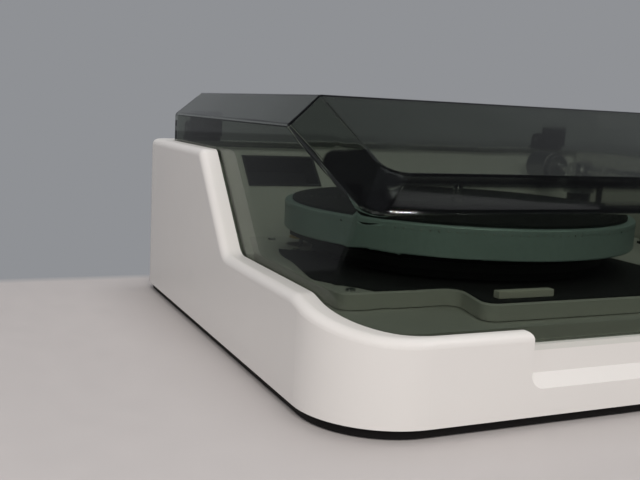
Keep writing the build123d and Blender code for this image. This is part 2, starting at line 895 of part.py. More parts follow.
def hinge_base(x):
    """The hinge's fixed half, on the rear shelf of the plinth."""
    with BuildPart() as base:
        with BuildSketch(Plane.YZ.offset(x)):
            with Locations((hinge_axis_y, hinge_axis_z)):
                Circle(ear_radius)
            with Locations((hinge_axis_y, rim_rear_height)):
                Rectangle(2 * ear_radius, hinge_axis_rise, align=(Align.CENTER, Align.MIN))
        extrude(amount=hinge_width / 2, both=True)
        with BuildSketch(Plane.YZ.offset(x)):
            with Locations((hinge_axis_y, hinge_axis_z)):
                Circle(ear_radius + hinge_foot_depth)
        extrude(amount=knuckle_width / 2 + hinge_side_clearance, both=True, mode=Mode.SUBTRACT)
        with Locations((x, hinge_foot_front, rim_rear_height)):
            Box(
                hinge_width,
                hinge_foot_depth,
                hinge_foot_thickness,
                align=(Align.CENTER, Align.MIN, Align.MIN),
            )
        with BuildSketch(Plane.YZ.offset(x)):
            with Locations((hinge_axis_y, hinge_axis_z)):
                Circle(hinge_pin_radius + hinge_pin_clearance)
        extrude(amount=hinge_width, both=True, mode=Mode.SUBTRACT)
    return base.part


def hinge_leaf(x):
    """The hinge's moving half, on the rear wall of the hood."""
    with BuildPart() as leaf:
        with Locations((x, hood_rear, rim_rear_height + hinge_leaf_base)):
            Box(
                hinge_width,
                hinge_leaf_thickness,
                hinge_leaf_height,
                align=(Align.CENTER, Align.MIN, Align.MIN),
            )
        with BuildSketch(Plane.YZ.offset(x)):
            with Locations((hinge_axis_y, hinge_axis_z)):
                Circle(hinge_knuckle_radius)
            with Locations((hinge_axis_y, hinge_axis_z)):
                Rectangle(
                    hinge_axis_y - hood_rear,
                    hinge_knuckle_radius,
                    align=(Align.MAX, Align.MIN),
                )
        extrude(amount=knuckle_width / 2, both=True)
        with BuildSketch(Plane.YZ.offset(x)):
            with Locations((hinge_axis_y, hinge_axis_z)):
                Circle(hinge_pin_radius + hinge_pin_clearance)
        extrude(amount=hinge_width, both=True, mode=Mode.SUBTRACT)
    return leaf.part


for side, sign in (("left", -1), ("right", 1)):
    hinge_x = sign * (hood_half_width - hinge_offset)
    write(hinge_base(hinge_x), f"hinge_base_{side}")
    write(hinge_leaf(hinge_x), f"hinge_leaf_{side}")
    with BuildPart() as hinge_pin:
        with BuildSketch(Plane.YZ.offset(hinge_x)):
            with Locations((hinge_axis_y, hinge_axis_z)):
                Circle(hinge_pin_radius)
        extrude(amount=hinge_width / 2, both=True)
    write(hinge_pin.part, f"hinge_pin_{side}")

# Unit plate with its stepped front edge, rubber spacers and screws
motor_lug_points = [
    (
        motor_x + motor_lug_pitch * cos(radians(360 * turn / motor_lug_count)),
        motor_y + motor_lug_pitch * sin(radians(360 * turn / motor_lug_count)),
    )
    for turn in range(motor_lug_count)
]

with BuildSketch() as plate_plan:
    with BuildLine():
        Polyline(
            (plate_left, plate_front_left),
            (plate_step_x, plate_front_left),
            (plate_step_x - plate_step_slant, plate_front_right),
            (plate_right, plate_front_right),
            (plate_right, plate_rear),
            (plate_left, plate_rear),
            close=True,
        )
    make_face()
    fillet(plate_plan.vertices(), plate_corner_radius)

with BuildSketch() as control_slot:
    with Locations((control_x + control_travel / 2, control_y)):
        SlotOverall(
            control_stem_length + control_travel + 2 * control_slot_clearance + control_stem_width,
            control_stem_width + 2 * control_slot_clearance,
        )

plate_skirt_inside = offset(plate_plan.sketch, -plate_skirt_thickness)
with BuildPart() as unit_plate:
    with BuildSketch(Plane.XY.offset(plate_bottom)):
        add(plate_plan.sketch)
        with Locations((spindle_x, spindle_y)):
            Circle(bearing_outer_radius + screw_clearance, mode=Mode.SUBTRACT)
        with Locations((motor_x, motor_y)):
            Circle(motor_collar_radius + motor_collar_height, mode=Mode.SUBTRACT)
        with Locations((arm_pivot_x, arm_pivot_y)):
            Circle(arm_stud_radius + screw_clearance, mode=Mode.SUBTRACT)
        add(control_slot.sketch, mode=Mode.SUBTRACT)
        with Locations(*grommet_points, *motor_lug_points):
            Circle(screw_radius + screw_clearance, mode=Mode.SUBTRACT)
    extrude(amount=plate_thickness)
    chamfer(
        unit_plate.faces().sort_by(Axis.Z)[-1].outer_wire().edges(),
        plate_edge_round,
    )
    with BuildSketch(Plane.XY.offset(plate_bottom)):
        add(plate_plan.sketch)
        add(plate_skirt_inside, mode=Mode.SUBTRACT)
    extrude(amount=plate_skirt_gap - grommet_height)

write(unit_plate.part, "unit_plate")

inlay_limit = offset(plate_plan.sketch, -inlay_edge)
with BuildPart() as plate_inlay:
    with BuildSketch(Plane.XY.offset(plate_top)):
        with Locations((spindle_x, spindle_y)):
            Circle(inlay_radius)
        with BuildLine():
            Polyline(
                (plate_left, plate_front_left + inlay_corner_rise),
                (plate_left + inlay_corner_run, plate_front_left),
                (plate_step_x, plate_front_left),
                (plate_step_x - plate_step_slant, plate_front_right),
                (spindle_x + inlay_radius, plate_front_right),
                (spindle_x + inlay_radius, spindle_y),
                (spindle_x - inlay_radius, spindle_y),
                close=True,
            )
        make_face()
        add(inlay_limit, mode=Mode.INTERSECT)
        with Locations((spindle_x, spindle_y)):
            Circle(bearing_outer_radius + screw_clearance, mode=Mode.SUBTRACT)
        with Locations((motor_x, motor_y)):
            Circle(motor_lug_pitch + motor_lug_radius, mode=Mode.SUBTRACT)
        add(control_slot.sketch, mode=Mode.SUBTRACT)
    extrude(amount=inlay_thickness)

write(plate_inlay.part, "plate_inlay")

with BuildPart() as plate_grommets:
    with BuildSketch(Plane.XY.offset(deck_height)):
        with Locations(*grommet_points):
            Circle(grommet_radius)
            Circle(screw_radius + screw_clearance, mode=Mode.SUBTRACT)
    extrude(amount=grommet_height)

write(plate_grommets.part, "plate_grommets")


def screws_from_above(points, seat_height, length):
    """A set of screws driven down, with their heads seated at a height."""
    one = screw(screw_radius, length, screw_head_radius, screw_head_height)
    with BuildPart() as group:
        with Locations(*[Location((x, y, seat_height), (180, 0, 0)) for x, y in points]):
            add(one)
    return group.part


write(screws_from_above(grommet_points, plate_top, plate_screw_length), "plate_screws")

# Bearing, spindle, sub-platter, platter and mat
bearing_bottom = base_top + bearing_floor
housing_top = sub_platter_bottom - bearing_top_gap
ball_seat = bearing_bottom + bearing_floor
spindle_bottom = ball_seat + 2 * thrust_ball_radius + thrust_gap
spindle_plane = Plane(origin=(spindle_x, spindle_y, 0))

with BuildPart() as bearing_housing:
    with BuildSketch(spindle_plane.offset(bearing_bottom)):
        Circle(bearing_outer_radius)
    extrude(amount=housing_top - bearing_bottom)
    with BuildSketch(spindle_plane.offset(plate_bottom - bearing_flange_thickness)):
        Circle(bearing_flange_radius)
    extrude(amount=bearing_flange_thickness)
    with BuildSketch(spindle_plane.offset(ball_seat)):
        Circle(spindle_radius + bearing_clearance)
    extrude(amount=housing_top - ball_seat, mode=Mode.SUBTRACT)

write(bearing_housing.part, "bearing_housing")

with BuildPart() as thrust_ball:
    with Locations((spindle_x, spindle_y, ball_seat + thrust_ball_radius)):
        Sphere(thrust_ball_radius)

write(thrust_ball.part, "thrust_ball")

with BuildPart() as spindle_shaft:
    with BuildSketch(spindle_plane.offset(spindle_bottom)):
        Circle(spindle_radius)
    extrude(amount=spindle_tip_height - spindle_bottom)
    fillet(spindle_shaft.faces().sort_by(Axis.Z)[-1].edges(), spindle_radius * spindle_tip_share)

write(spindle_shaft.part, "spindle_shaft")

sub_platter_top = platter_bottom - sub_platter_rim_gap
with BuildPart() as sub_platter:
    with BuildSketch(spindle_plane.offset(sub_platter_bottom)):
        Circle(sub_platter_radius)
        Circle(sub_platter_radius - sub_platter_rim_wall, mode=Mode.SUBTRACT)
        Circle(sub_platter_hub_radius)
        with PolarLocations(0, sub_platter_rib_count):
            Rectangle(
                sub_platter_radius - sub_platter_rim_wall / 2,
                sub_platter_rib_width,
                align=(Align.MIN, Align.CENTER),
            )
    extrude(amount=sub_platter_top - sub_platter_bottom)
    with BuildSketch(spindle_plane.offset(sub_platter_top - sub_platter_web)):
        Circle(sub_platter_radius)
    extrude(amount=sub_platter_web)
    with BuildSketch(spindle_plane.offset(sub_platter_bottom)):
        Circle(spindle_radius + bearing_clearance)
    extrude(amount=sub_platter_top - sub_platter_bottom, mode=Mode.SUBTRACT)

write(sub_platter.part, "sub_platter")

with BuildPart() as platter:
    with BuildSketch(Plane.XZ.offset(-spindle_y)):
        with BuildLine():
            Polyline(
                (spindle_x + spindle_radius + bearing_clearance, platter_top),
                (spindle_x + platter_radius, platter_top),
                (spindle_x + platter_radius, platter_bottom),
                (spindle_x + platter_radius - platter_rim_wall, platter_bottom),
                (spindle_x + platter_radius - platter_rim_wall, platter_top - platter_web),
                (spindle_x + platter_hub_radius, platter_top - platter_web),
                (spindle_x + platter_hub_radius, sub_platter_top),
                (spindle_x + spindle_radius + bearing_clearance, sub_platter_top),
                close=True,
            )
        make_face()
    revolve(axis=Axis((spindle_x, spindle_y, 0), (0, 0, 1)))
    rim_circles = platter.edges().filter_by(GeomType.CIRCLE).group_by(SortBy.RADIUS)[-1]
    fillet(rim_circles, platter_edge_round)

write(platter.part, "platter")

with BuildPart() as platter_mat:
    with BuildSketch(spindle_plane.offset(platter_top)):
        Circle(mat_radius)
        Circle(spindle_radius + mat_hole_clearance, mode=Mode.SUBTRACT)
    extrude(amount=mat_thickness)
    with BuildSketch(spindle_plane.offset(platter_top + mat_thickness)):
        ring_pitch = (mat_radius - mat_label_radius) / mat_ring_count
        for ring in range(mat_ring_count):
            ring_outer = mat_radius - ring * ring_pitch
            Circle(ring_outer)
            Circle(ring_outer - ring_pitch + mat_groove_width, mode=Mode.SUBTRACT)
    extrude(amount=mat_ring_height)

write(platter_mat.part, "platter_mat")

# Motor, its rubber mounts, shaft and pulley, and the belt
motor_plane = Plane(origin=(motor_x, motor_y, 0))
pulley_bottom = belt_centre_height - pulley_height / 2

with BuildPart() as motor:
    with BuildSketch(motor_plane.offset(motor_top - motor_height)):
        Circle(motor_radius)
    extrude(amount=motor_height)
    fillet(motor.edges().filter_by(GeomType.CIRCLE), motor_collar_height)
    with BuildSketch(motor_plane.offset(motor_top)):
        Circle(motor_collar_radius)
    extrude(amount=motor_collar_height)
    with BuildSketch(Plane.XY.offset(motor_top - motor_lug_thickness)):
        for lug_x, lug_y in motor_lug_points:
            with BuildSketch(mode=Mode.PRIVATE) as lug:
                with Locations((lug_x, lug_y), (motor_x, motor_y)):
                    Circle(motor_lug_radius)
                make_hull()
            add(lug.sketch)
        with Locations(*motor_lug_points):
            Circle(screw_radius + screw_clearance, mode=Mode.SUBTRACT)
    extrude(amount=motor_lug_thickness)
    with BuildSketch(motor_plane.offset(motor_top - motor_height / 2)):
        Circle(motor_shaft_radius + motor_bore_clearance)
    extrude(amount=motor_height, mode=Mode.SUBTRACT)

write(motor.part, "motor")

with BuildPart() as motor_grommets:
    with BuildSketch(Plane.XY.offset(motor_top)):
        with Locations(*motor_lug_points):
            Circle(motor_grommet_radius)
            Circle(screw_radius + screw_clearance, mode=Mode.SUBTRACT)
    extrude(amount=motor_plate_gap)

write(motor_grommets.part, "motor_grommets")
write(screws_from_above(motor_lug_points, plate_top, plate_screw_length), "motor_screws")

with BuildPart() as motor_shaft:
    with BuildSketch(motor_plane.offset(motor_top - motor_height / 2 + motor_bore_clearance)):
        Circle(motor_shaft_radius)
    extrude(amount=pulley_bottom + pulley_height - motor_top + motor_height / 2)

write(motor_shaft.part, "motor_shaft")

with BuildPart() as motor_pulley:
    with BuildSketch(motor_plane.offset(pulley_bottom)):
        Circle(pulley_radius)
    extrude(amount=pulley_height)
    for flange_bottom in (pulley_bottom, pulley_bottom + pulley_height - pulley_flange_height):
        with BuildSketch(motor_plane.offset(flange_bottom)):
            Circle(pulley_flange_radius)
        extrude(amount=pulley_flange_height)
    with BuildSketch(motor_plane.offset(pulley_bottom)):
        Circle(motor_shaft_radius + motor_bore_clearance)
    extrude(amount=pulley_height, mode=Mode.SUBTRACT)

write(motor_pulley.part, "motor_pulley")


def belt_outline(spread):
    """The closed line round the sub-platter and the pulley, spread outwards."""
    with BuildSketch() as outline:
        with Locations((spindle_x, spindle_y)):
            Circle(sub_platter_radius + spread)
        with Locations((motor_x, motor_y)):
            Circle(pulley_radius + spread)
        make_hull()
    return outline.sketch


with BuildPart() as drive_belt:
    with BuildSketch(Plane.XY.offset(belt_bottom)):
        add(belt_outline(belt_gap + belt_thickness))
        add(belt_outline(belt_gap), mode=Mode.SUBTRACT)
    extrude(amount=belt_height)

write(drive_belt.part, "drive_belt")

# Pick-up arm: base and nut, swivelling yoke, tube, counterweight and head
pivot_plane = Plane(origin=(arm_pivot_x, arm_pivot_y, 0))
arm_plane = Plane(origin=(arm_pivot_x, arm_pivot_y, arm_height), x_dir=(1, 0, 0), z_dir=(0, -1, 0))
yoke_bottom = arm_post_top + arm_yoke_gap
yoke_top = yoke_bottom + arm_yoke_base
cheek_inner = arm_hub_width / 2 + arm_hub_clearance
cheek_outer = cheek_inner + arm_yoke_cheek
head_angle = radians(head_offset_angle)
tube_length = (
    sqrt(arm_length**2 - (head_reach * sin(head_angle)) ** 2) - head_reach * cos(head_angle)
)
head_y = arm_pivot_y - tube_length
stem_floor = yoke_bottom - arm_yoke_stem_length - arm_yoke_gap

with BuildPart() as arm_base:
    with BuildSketch(pivot_plane.offset(plate_top)):
        Circle(arm_base_radius)
    extrude(amount=arm_base_height)
    fillet(arm_base.faces().sort_by(Axis.Z)[-1].edges(), arm_base_height / 4)
    with BuildSketch(pivot_plane.offset(plate_top)):
        Circle(arm_post_radius)
    extrude(amount=arm_post_top - plate_top)
    with BuildSketch(pivot_plane.offset(plate_top)):
        Circle(arm_stud_radius)
    extrude(amount=-(plate_thickness + arm_nut_height))
    with BuildSketch(pivot_plane.offset(stem_floor)):
        Circle(arm_yoke_stem_radius + arm_stem_clearance)
    extrude(amount=arm_post_top - stem_floor, mode=Mode.SUBTRACT)

write(arm_base.part, "arm_base")

with BuildPart() as arm_base_nut:
    with BuildSketch(pivot_plane.offset(plate_bottom - arm_nut_height)):
        RegularPolygon(arm_nut_radius, arm_nut_sides)
        Circle(arm_stud_radius + screw_clearance, mode=Mode.SUBTRACT)
    extrude(amount=arm_nut_height)

write(arm_base_nut.part, "arm_base_nut")

with BuildPart() as arm_yoke:
    with BuildSketch(pivot_plane.offset(yoke_bottom)):
        Circle(arm_yoke_radius)
    extrude(amount=arm_yoke_base)
    with BuildSketch(pivot_plane.offset(yoke_bottom)):
        Circle(arm_yoke_stem_radius)
    extrude(amount=-arm_yoke_stem_length)
    with BuildSketch(Plane.YZ.offset(arm_pivot_x)):
        with Locations((arm_pivot_y, arm_height)):
            Circle(arm_cheek_depth / 2)
        with Locations((arm_pivot_y, yoke_top)):
            Rectangle(arm_cheek_depth, arm_height - yoke_top, align=(Align.CENTER, Align.MIN))
        with Locations((arm_pivot_y, arm_height)):
            Circle(arm_pin_radius + arm_pin_clearance, mode=Mode.SUBTRACT)
    extrude(amount=cheek_outer, both=True)
    with Locations((arm_pivot_x, arm_pivot_y, yoke_top)):
        Box(
            2 * cheek_inner,
            2 * arm_yoke_radius,
            arm_height,
            align=(Align.CENTER, Align.CENTER, Align.MIN),
            mode=Mode.SUBTRACT,
        )

write(arm_yoke.part, "arm_yoke")

with BuildPart() as arm_pivot_pin:
    with BuildSketch(Plane.YZ.offset(arm_pivot_x)):
        with Locations((arm_pivot_y, arm_height)):
            Circle(arm_pin_radius)
    extrude(amount=cheek_outer, both=True)

write(arm_pivot_pin.part, "arm_pivot_pin")

with BuildPart() as arm_tube:
    with BuildSketch(arm_plane):
        Circle(arm_tube_radius)
    extrude(amount=tube_length - head_collar_length)
    with BuildSketch(arm_plane):
        Circle(arm_tail_radius)
    extrude(amount=-arm_tail_length)
    with BuildSketch(Plane.YZ.offset(arm_pivot_x)):
        with Locations((arm_pivot_y, arm_height)):
            Circle(arm_hub_radius)
    extrude(amount=arm_hub_width / 2, both=True)
    with BuildSketch(Plane.YZ.offset(arm_pivot_x)):
        with Locations((arm_pivot_y, arm_height)):
            Circle(arm_pin_radius + arm_pin_clearance)
    extrude(amount=arm_hub_width, both=True, mode=Mode.SUBTRACT)

write(arm_tube.part, "arm_tube")

counterweight_front = counterweight_centre - counterweight_length / 2
with BuildPart() as counterweight:
    with BuildSketch(arm_plane.offset(-counterweight_front)):
        Circle(counterweight_radius)
    extrude(amount=-counterweight_length)
    fillet(counterweight.edges().filter_by(GeomType.CIRCLE), counterweight_round)
    with BuildSketch(arm_plane.offset(-counterweight_front)):
        Circle(counterweight_radius - 2 * counterweight_round)
    extrude(amount=counterweight_ring_length)
    with BuildSketch(arm_plane):
        Circle(arm_tail_radius + counterweight_clearance)
    extrude(amount=-2 * arm_tail_length, mode=Mode.SUBTRACT)

write(counterweight.part, "counterweight")

head_bottom = arm_height - head_thickness / 2
head_plane = Plane(
    origin=(arm_pivot_x, head_y, head_bottom),
    x_dir=(-sin(head_angle), -cos(head_angle), 0),
    z_dir=(0, 0, 1),
)

with BuildPart() as headshell:
    with BuildSketch(arm_plane.offset(tube_length - head_collar_length)):
        Circle(head_collar_radius)
    extrude(amount=head_collar_length)
    with BuildSketch(head_plane):
        with BuildLine():
            Polyline(
                (-head_collar_length / 2, -head_neck_width / 2),
                (0, -head_neck_width / 2),
                (head_shoulder, -head_width / 2),
                (head_length, -head_width / 2),
                (head_length, head_width / 2),
                (head_shoulder, head_width / 2),
                (0, head_neck_width / 2),
                (-head_collar_length / 2, head_neck_width / 2),
                close=True,
            )
        head_outline = make_face()
        fillet(head_outline.vertices().group_by(Axis.X)[-1], head_corner_radius)
    extrude(amount=head_thickness)

write(headshell.part, "headshell")

lift_side = head_width / 2
lift_root = head_plane.from_local_coords((head_reach, 0, head_thickness))
with BuildPart() as finger_lift:
    with BuildSketch(Plane(lift_root, head_plane.y_dir, head_plane.x_dir)):
        with BuildLine():
            Polyline(
                (lift_side - finger_lift_root, 0),
                (lift_side + finger_lift_length / 2, 0),
                (lift_side + finger_lift_length, finger_lift_rise),
                (lift_side + finger_lift_length, finger_lift_rise + finger_lift_thickness),
                (lift_side + finger_lift_length / 2, finger_lift_thickness),
                (lift_side - finger_lift_root, finger_lift_thickness),
                close=True,
            )
        make_face()
    extrude(amount=finger_lift_width / 2, both=True)

write(finger_lift.part, "finger_lift")

cartridge_end = head_length - head_corner_radius
with BuildPart() as cartridge:
    with BuildSketch(Plane(head_plane.origin, head_plane.x_dir, -head_plane.y_dir)):
        with BuildLine():
            Polyline(
                (cartridge_end - cartridge_length, 0),
                (cartridge_end, 0),
                (cartridge_end, -cartridge_height / 2),
                (cartridge_end - cartridge_taper, -cartridge_height),
                (cartridge_end - cartridge_length, -cartridge_height),
                close=True,
            )
        make_face()
    extrude(amount=cartridge_width / 2, both=True)

write(cartridge.part, "cartridge")

with BuildPart() as stylus:
    with BuildSketch(Plane(head_plane.origin, head_plane.x_dir, -head_plane.y_dir)):
        with BuildLine():
            Polyline(
                (head_reach - stylus_length, -cartridge_height),
                (head_reach + stylus_tip_length, -cartridge_height),
                (head_reach + stylus_tip_length, -cartridge_height - stylus_height),
                (head_reach, -cartridge_height - stylus_height - stylus_tip_length),
                (head_reach - stylus_tip_length, -cartridge_height - stylus_height),
                close=True,
            )
        make_face()
    extrude(amount=stylus_width / 2, both=True)

write(stylus.part, "stylus")

# Arm rest, open on the platter side, with a clip that folds over the tube
rest_y = arm_pivot_y - rest_distance
rest_top = arm_height - arm_tube_radius - rest_gap
clip_x = arm_pivot_x + clip_axis_offset
clip_z = arm_height + clip_axis_rise
clip_width = rest_cradle_depth - 2 * (clip_ear + clip_side_clearance)
clip_plane = Plane(origin=(0, rest_y, 0), x_dir=(1, 0, 0), z_dir=(0, -1, 0))

with BuildPart() as arm_rest:
    with BuildSketch(Plane.XY.offset(plate_top)):
        with Locations((arm_pivot_x, rest_y)):
            Circle(rest_post_radius)
    extrude(amount=rest_top - plate_top - rest_cradle_thickness / 2)
    with BuildSketch(clip_plane):
        with Locations((arm_pivot_x - rest_cradle_reach, rest_top)):
            Rectangle(
                rest_cradle_reach + clip_axis_offset + clip_ear_radius,
                rest_cradle_thickness,
                align=(Align.MIN, Align.MAX),
            )
        with Locations((clip_x, rest_top - rest_cradle_thickness)):
            Rectangle(
                2 * clip_ear_radius,
                clip_z - rest_top + rest_cradle_thickness,
                align=(Align.CENTER, Align.MIN),
            )
        with Locations((clip_x, clip_z)):
            Circle(clip_ear_radius)
            Circle(clip_pin_radius + clip_pin_clearance, mode=Mode.SUBTRACT)
    extrude(amount=rest_cradle_depth / 2, both=True)
    with BuildSketch(clip_plane):
        with Locations((clip_x, clip_z - clip_ear_radius - clip_side_clearance)):
            Rectangle(4 * clip_ear_radius, 4 * clip_ear_radius, align=(Align.CENTER, Align.MIN))
    extrude(amount=clip_width / 2 + clip_side_clearance, both=True, mode=Mode.SUBTRACT)

write(arm_rest.part, "arm_rest")

with BuildPart() as rest_clip:
    with BuildSketch(clip_plane):
        with Locations((clip_x, clip_z)):
            Circle(clip_hub_radius)
            Rectangle(clip_thickness, clip_length, align=(Align.CENTER, Align.MIN))
    extrude(amount=clip_width / 2, both=True)
    with BuildSketch(clip_plane):
        with Locations((clip_x, clip_z)):
            Circle(clip_pin_radius)
    extrude(amount=rest_cradle_depth / 2, both=True)

write(rest_clip.part, "rest_clip")

# Cueing lift: post, bar under the arm, bracket and lever
lift_x = arm_pivot_x + lift_radius * cos(radians(lift_post_angle))
lift_y = arm_pivot_y + lift_radius * sin(radians(lift_post_angle))
lift_top = arm_height - arm_tube_radius - lift_gap
lift_floor = lift_housing_top - lift_rod_engagement - lift_rod_end_gap
lever_z = plate_top + lever_axis_height
lever_plane = Plane.YZ.offset(lever_x)
lift_arc = CenterArc((0, 0), lift_radius, lift_bar_start, lift_bar_end - lift_bar_start)

with BuildPart() as lift_housing:
    with BuildSketch(Plane.XY.offset(plate_top)):
        with Locations((lift_x, lift_y)):
            Circle(lift_housing_radius)
    extrude(amount=lift_housing_top - plate_top)
    with BuildSketch(Plane.XY.offset(lift_floor)):
        with Locations((lift_x, lift_y)):
            Circle(lift_rod_radius + lift_rod_clearance)
    extrude(amount=lift_housing_top - lift_floor, mode=Mode.SUBTRACT)

write(lift_housing.part, "lift_housing")

with BuildPart() as lift_bar:
    with BuildSketch(pivot_plane.offset(lift_top - lift_bar_thickness)):
        SlotArc(lift_arc, lift_bar_width)
    extrude(amount=lift_bar_thickness)
    with BuildSketch(Plane.XY.offset(lift_floor + lift_rod_end_gap)):
        with Locations((lift_x, lift_y)):
            Circle(lift_rod_radius)
    extrude(amount=lift_top - lift_bar_thickness / 2 - lift_floor - lift_rod_end_gap)

write(lift_bar.part, "lift_bar")

with BuildPart() as cue_bracket:
    with BuildSketch(lever_plane):
        with Locations((lever_y, lever_z)):
            Circle(lever_ear_radius)
        with Locations((lever_y, plate_top)):
            Rectangle(2 * lever_ear_radius, lever_axis_height, align=(Align.CENTER, Align.MIN))
    extrude(amount=lever_hub_width / 2 + lever_ear_clearance + lever_ear_width, both=True)
    with Locations((lever_x, lever_y, plate_top)):
        Box(
            lever_hub_width + 2 * lever_ear_clearance,
            lever_foot_depth,
            4 * lever_axis_height,
            align=(Align.CENTER, Align.CENTER, Align.MIN),
            mode=Mode.SUBTRACT,
        )
        Box(
            lever_hub_width + 2 * (lever_ear_clearance + lever_ear_width),
            lever_foot_depth,
            lever_foot_thickness,
            align=(Align.CENTER, Align.CENTER, Align.MIN),
        )
    with BuildSketch(lever_plane):
        with Locations((lever_y, lever_z)):
            Circle(lever_pin_radius + lever_pin_clearance)
    extrude(amount=2 * lever_hub_width, both=True, mode=Mode.SUBTRACT)

write(cue_bracket.part, "cue_bracket")

with BuildPart() as cue_lever:
    with BuildSketch(lever_plane):
        with Locations((lever_y, lever_z)):
            Circle(lever_hub_radius)
            Rectangle(lever_length, lever_thickness, align=(Align.MAX, Align.CENTER))
    extrude(amount=lever_thickness / 2, both=True)
    with BuildSketch(lever_plane):
        with Locations((lever_y, lever_z)):
            Circle(lever_hub_radius)
    extrude(amount=lever_hub_width / 2, both=True)
    with BuildSketch(lever_plane):
        with Locations((lever_y, lever_z)):
            Circle(lever_pin_radius)
    extrude(amount=lever_hub_width / 2 + lever_ear_clearance + lever_ear_width, both=True)
    with BuildSketch(Plane.XZ.offset(lever_length - lever_y)):
        with Locations((lever_x, lever_z)):
            Circle(lever_knob_radius)
    extrude(amount=-lever_knob_length)

write(cue_lever.part, "cue_lever")

# Sliding control: bar on top of the plate, stem through it, carriage below
with BuildPart() as control_bar:
    with BuildSketch(Plane.XY.offset(inlay_top + control_gap)):
        with Locations((control_x, control_y)):
            Rectangle(control_length, control_width)
    extrude(amount=control_height)
    chamfer(control_bar.faces().sort_by(Axis.Z)[-1].edges(), control_gap)
    with BuildSketch(Plane.XY.offset(plate_bottom - control_gap)):
        with Locations((control_x, control_y)):
            Rectangle(control_stem_length, control_stem_width)
    extrude(amount=inlay_top - plate_bottom + 2 * control_gap)
    with BuildSketch(Plane.XY.offset(plate_bottom - control_gap)):
        with Locations((control_x, control_y)):
            Rectangle(control_stem_length, control_carriage_width)
    extrude(amount=-control_carriage_height)

write(control_bar.part, "control_bar")

# Transformer, circuit board and the sockets in the rear wall
with BuildPart() as transformer:
    with Locations((transformer_x, transformer_y, base_top)):
        Box(
            transformer_foot_length,
            transformer_width,
            transformer_foot_thickness,
            align=(Align.CENTER, Align.CENTER, Align.MIN),
        )
        Box(
            transformer_core_height,
            transformer_width,
            transformer_height,
            align=(Align.CENTER, Align.CENTER, Align.MIN),
        )
    with Locations((transformer_x, transformer_y, base_top + transformer_height / 2)):
        Box(transformer_length, transformer_width, transformer_core_height)
        Box(
            transformer_length,
            transformer_width - transformer_core_height / 2,
            transformer_height,
        )

write(transformer.part, "transformer")

board_bottom = base_top + board_stand_height
with BuildPart() as circuit_board:
    with BuildSketch(Plane.XY.offset(board_bottom)):
        with Locations((board_x, board_y)):
            Rectangle(board_length, board_width)
    extrude(amount=board_thickness)
    with BuildSketch(Plane.XY.offset(base_top)):
        with Locations((board_x, board_y)):
            with GridLocations(
                board_length - 2 * board_stand_inset, board_width - 2 * board_stand_inset, 2, 2
            ):
                Circle(board_stand_radius)
    extrude(amount=board_stand_height)

write(circuit_board.part, "circuit_board")

socket_face = half_depth - shell_wall
socket_sketch_plane = Plane(
    origin=(socket_plate_x, socket_face, socket_plate_z), x_dir=(-1, 0, 0), z_dir=(0, 1, 0)
)
socket_points = [(-socket_start - socket * socket_pitch, 0) for socket in range(socket_count)]

with BuildPart() as socket_plate:
    with BuildSketch(socket_sketch_plane):
        Rectangle(socket_plate_length, socket_plate_height)
        with Locations((-inlet_offset, 0)):
            Rectangle(inlet_length, inlet_height, mode=Mode.SUBTRACT)
    extrude(amount=-socket_plate_thickness)

write(socket_plate.part, "socket_plate")

with BuildPart() as phono_sockets:
    with BuildSketch(socket_sketch_plane):
        with Locations(*socket_points):
            Circle(socket_radius)
            Circle(socket_bore_radius, mode=Mode.SUBTRACT)
    extrude(amount=shell_wall)

write(phono_sockets.part, "phono_sockets")

with BuildPart() as mains_inlet:
    with BuildSketch(socket_sketch_plane.offset(shell_wall - inlet_depth)):
        with Locations((-inlet_offset, 0)):
            Rectangle(inlet_length, inlet_height)
    extrude(amount=inlet_depth)
    with BuildSketch(socket_sketch_plane.offset(shell_wall - inlet_depth + inlet_floor)):
        with Locations((-inlet_offset, 0)):
            Rectangle(inlet_length - 2 * inlet_wall, inlet_height - 2 * inlet_wall)
    extrude(amount=inlet_depth, mode=Mode.SUBTRACT)
    with BuildSketch(socket_sketch_plane.offset(shell_wall - inlet_depth + inlet_floor / 2)):
        with Locations((-inlet_offset, 0)):
            with GridLocations(inlet_pin_pitch, 0, 2, 1):
                Circle(inlet_pin_radius)
    extrude(amount=inlet_floor / 2 + inlet_pin_length)

write(mains_inlet.part, "mains_inlet")
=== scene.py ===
"""Looks of the belt-drive record player: finishes, fine parts, light and camera.

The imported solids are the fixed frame. Every node gets a procedural finish, the mat
is stood in for by a ribbed one, and dots and marks are added. Lengths are metres.
"""

import logging
import math
from dataclasses import dataclass, field
from enum import Enum
from typing import Any, ClassVar, Iterable

import bmesh
import bpy
from mathutils import Matrix, Vector


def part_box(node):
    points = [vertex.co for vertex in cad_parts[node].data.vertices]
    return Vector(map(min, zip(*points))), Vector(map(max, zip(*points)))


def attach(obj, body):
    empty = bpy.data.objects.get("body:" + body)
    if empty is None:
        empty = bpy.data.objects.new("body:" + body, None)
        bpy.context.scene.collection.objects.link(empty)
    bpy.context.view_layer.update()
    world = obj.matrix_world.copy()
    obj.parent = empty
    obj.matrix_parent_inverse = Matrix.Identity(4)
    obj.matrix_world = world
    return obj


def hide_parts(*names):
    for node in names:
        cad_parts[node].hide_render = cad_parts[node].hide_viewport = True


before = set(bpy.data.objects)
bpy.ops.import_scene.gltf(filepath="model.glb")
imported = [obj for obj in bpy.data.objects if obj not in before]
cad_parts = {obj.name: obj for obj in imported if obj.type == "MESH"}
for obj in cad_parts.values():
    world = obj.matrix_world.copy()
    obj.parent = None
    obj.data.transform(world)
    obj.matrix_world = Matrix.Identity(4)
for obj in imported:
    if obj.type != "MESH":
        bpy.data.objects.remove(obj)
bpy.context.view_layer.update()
log = logging.getLogger("record_player")

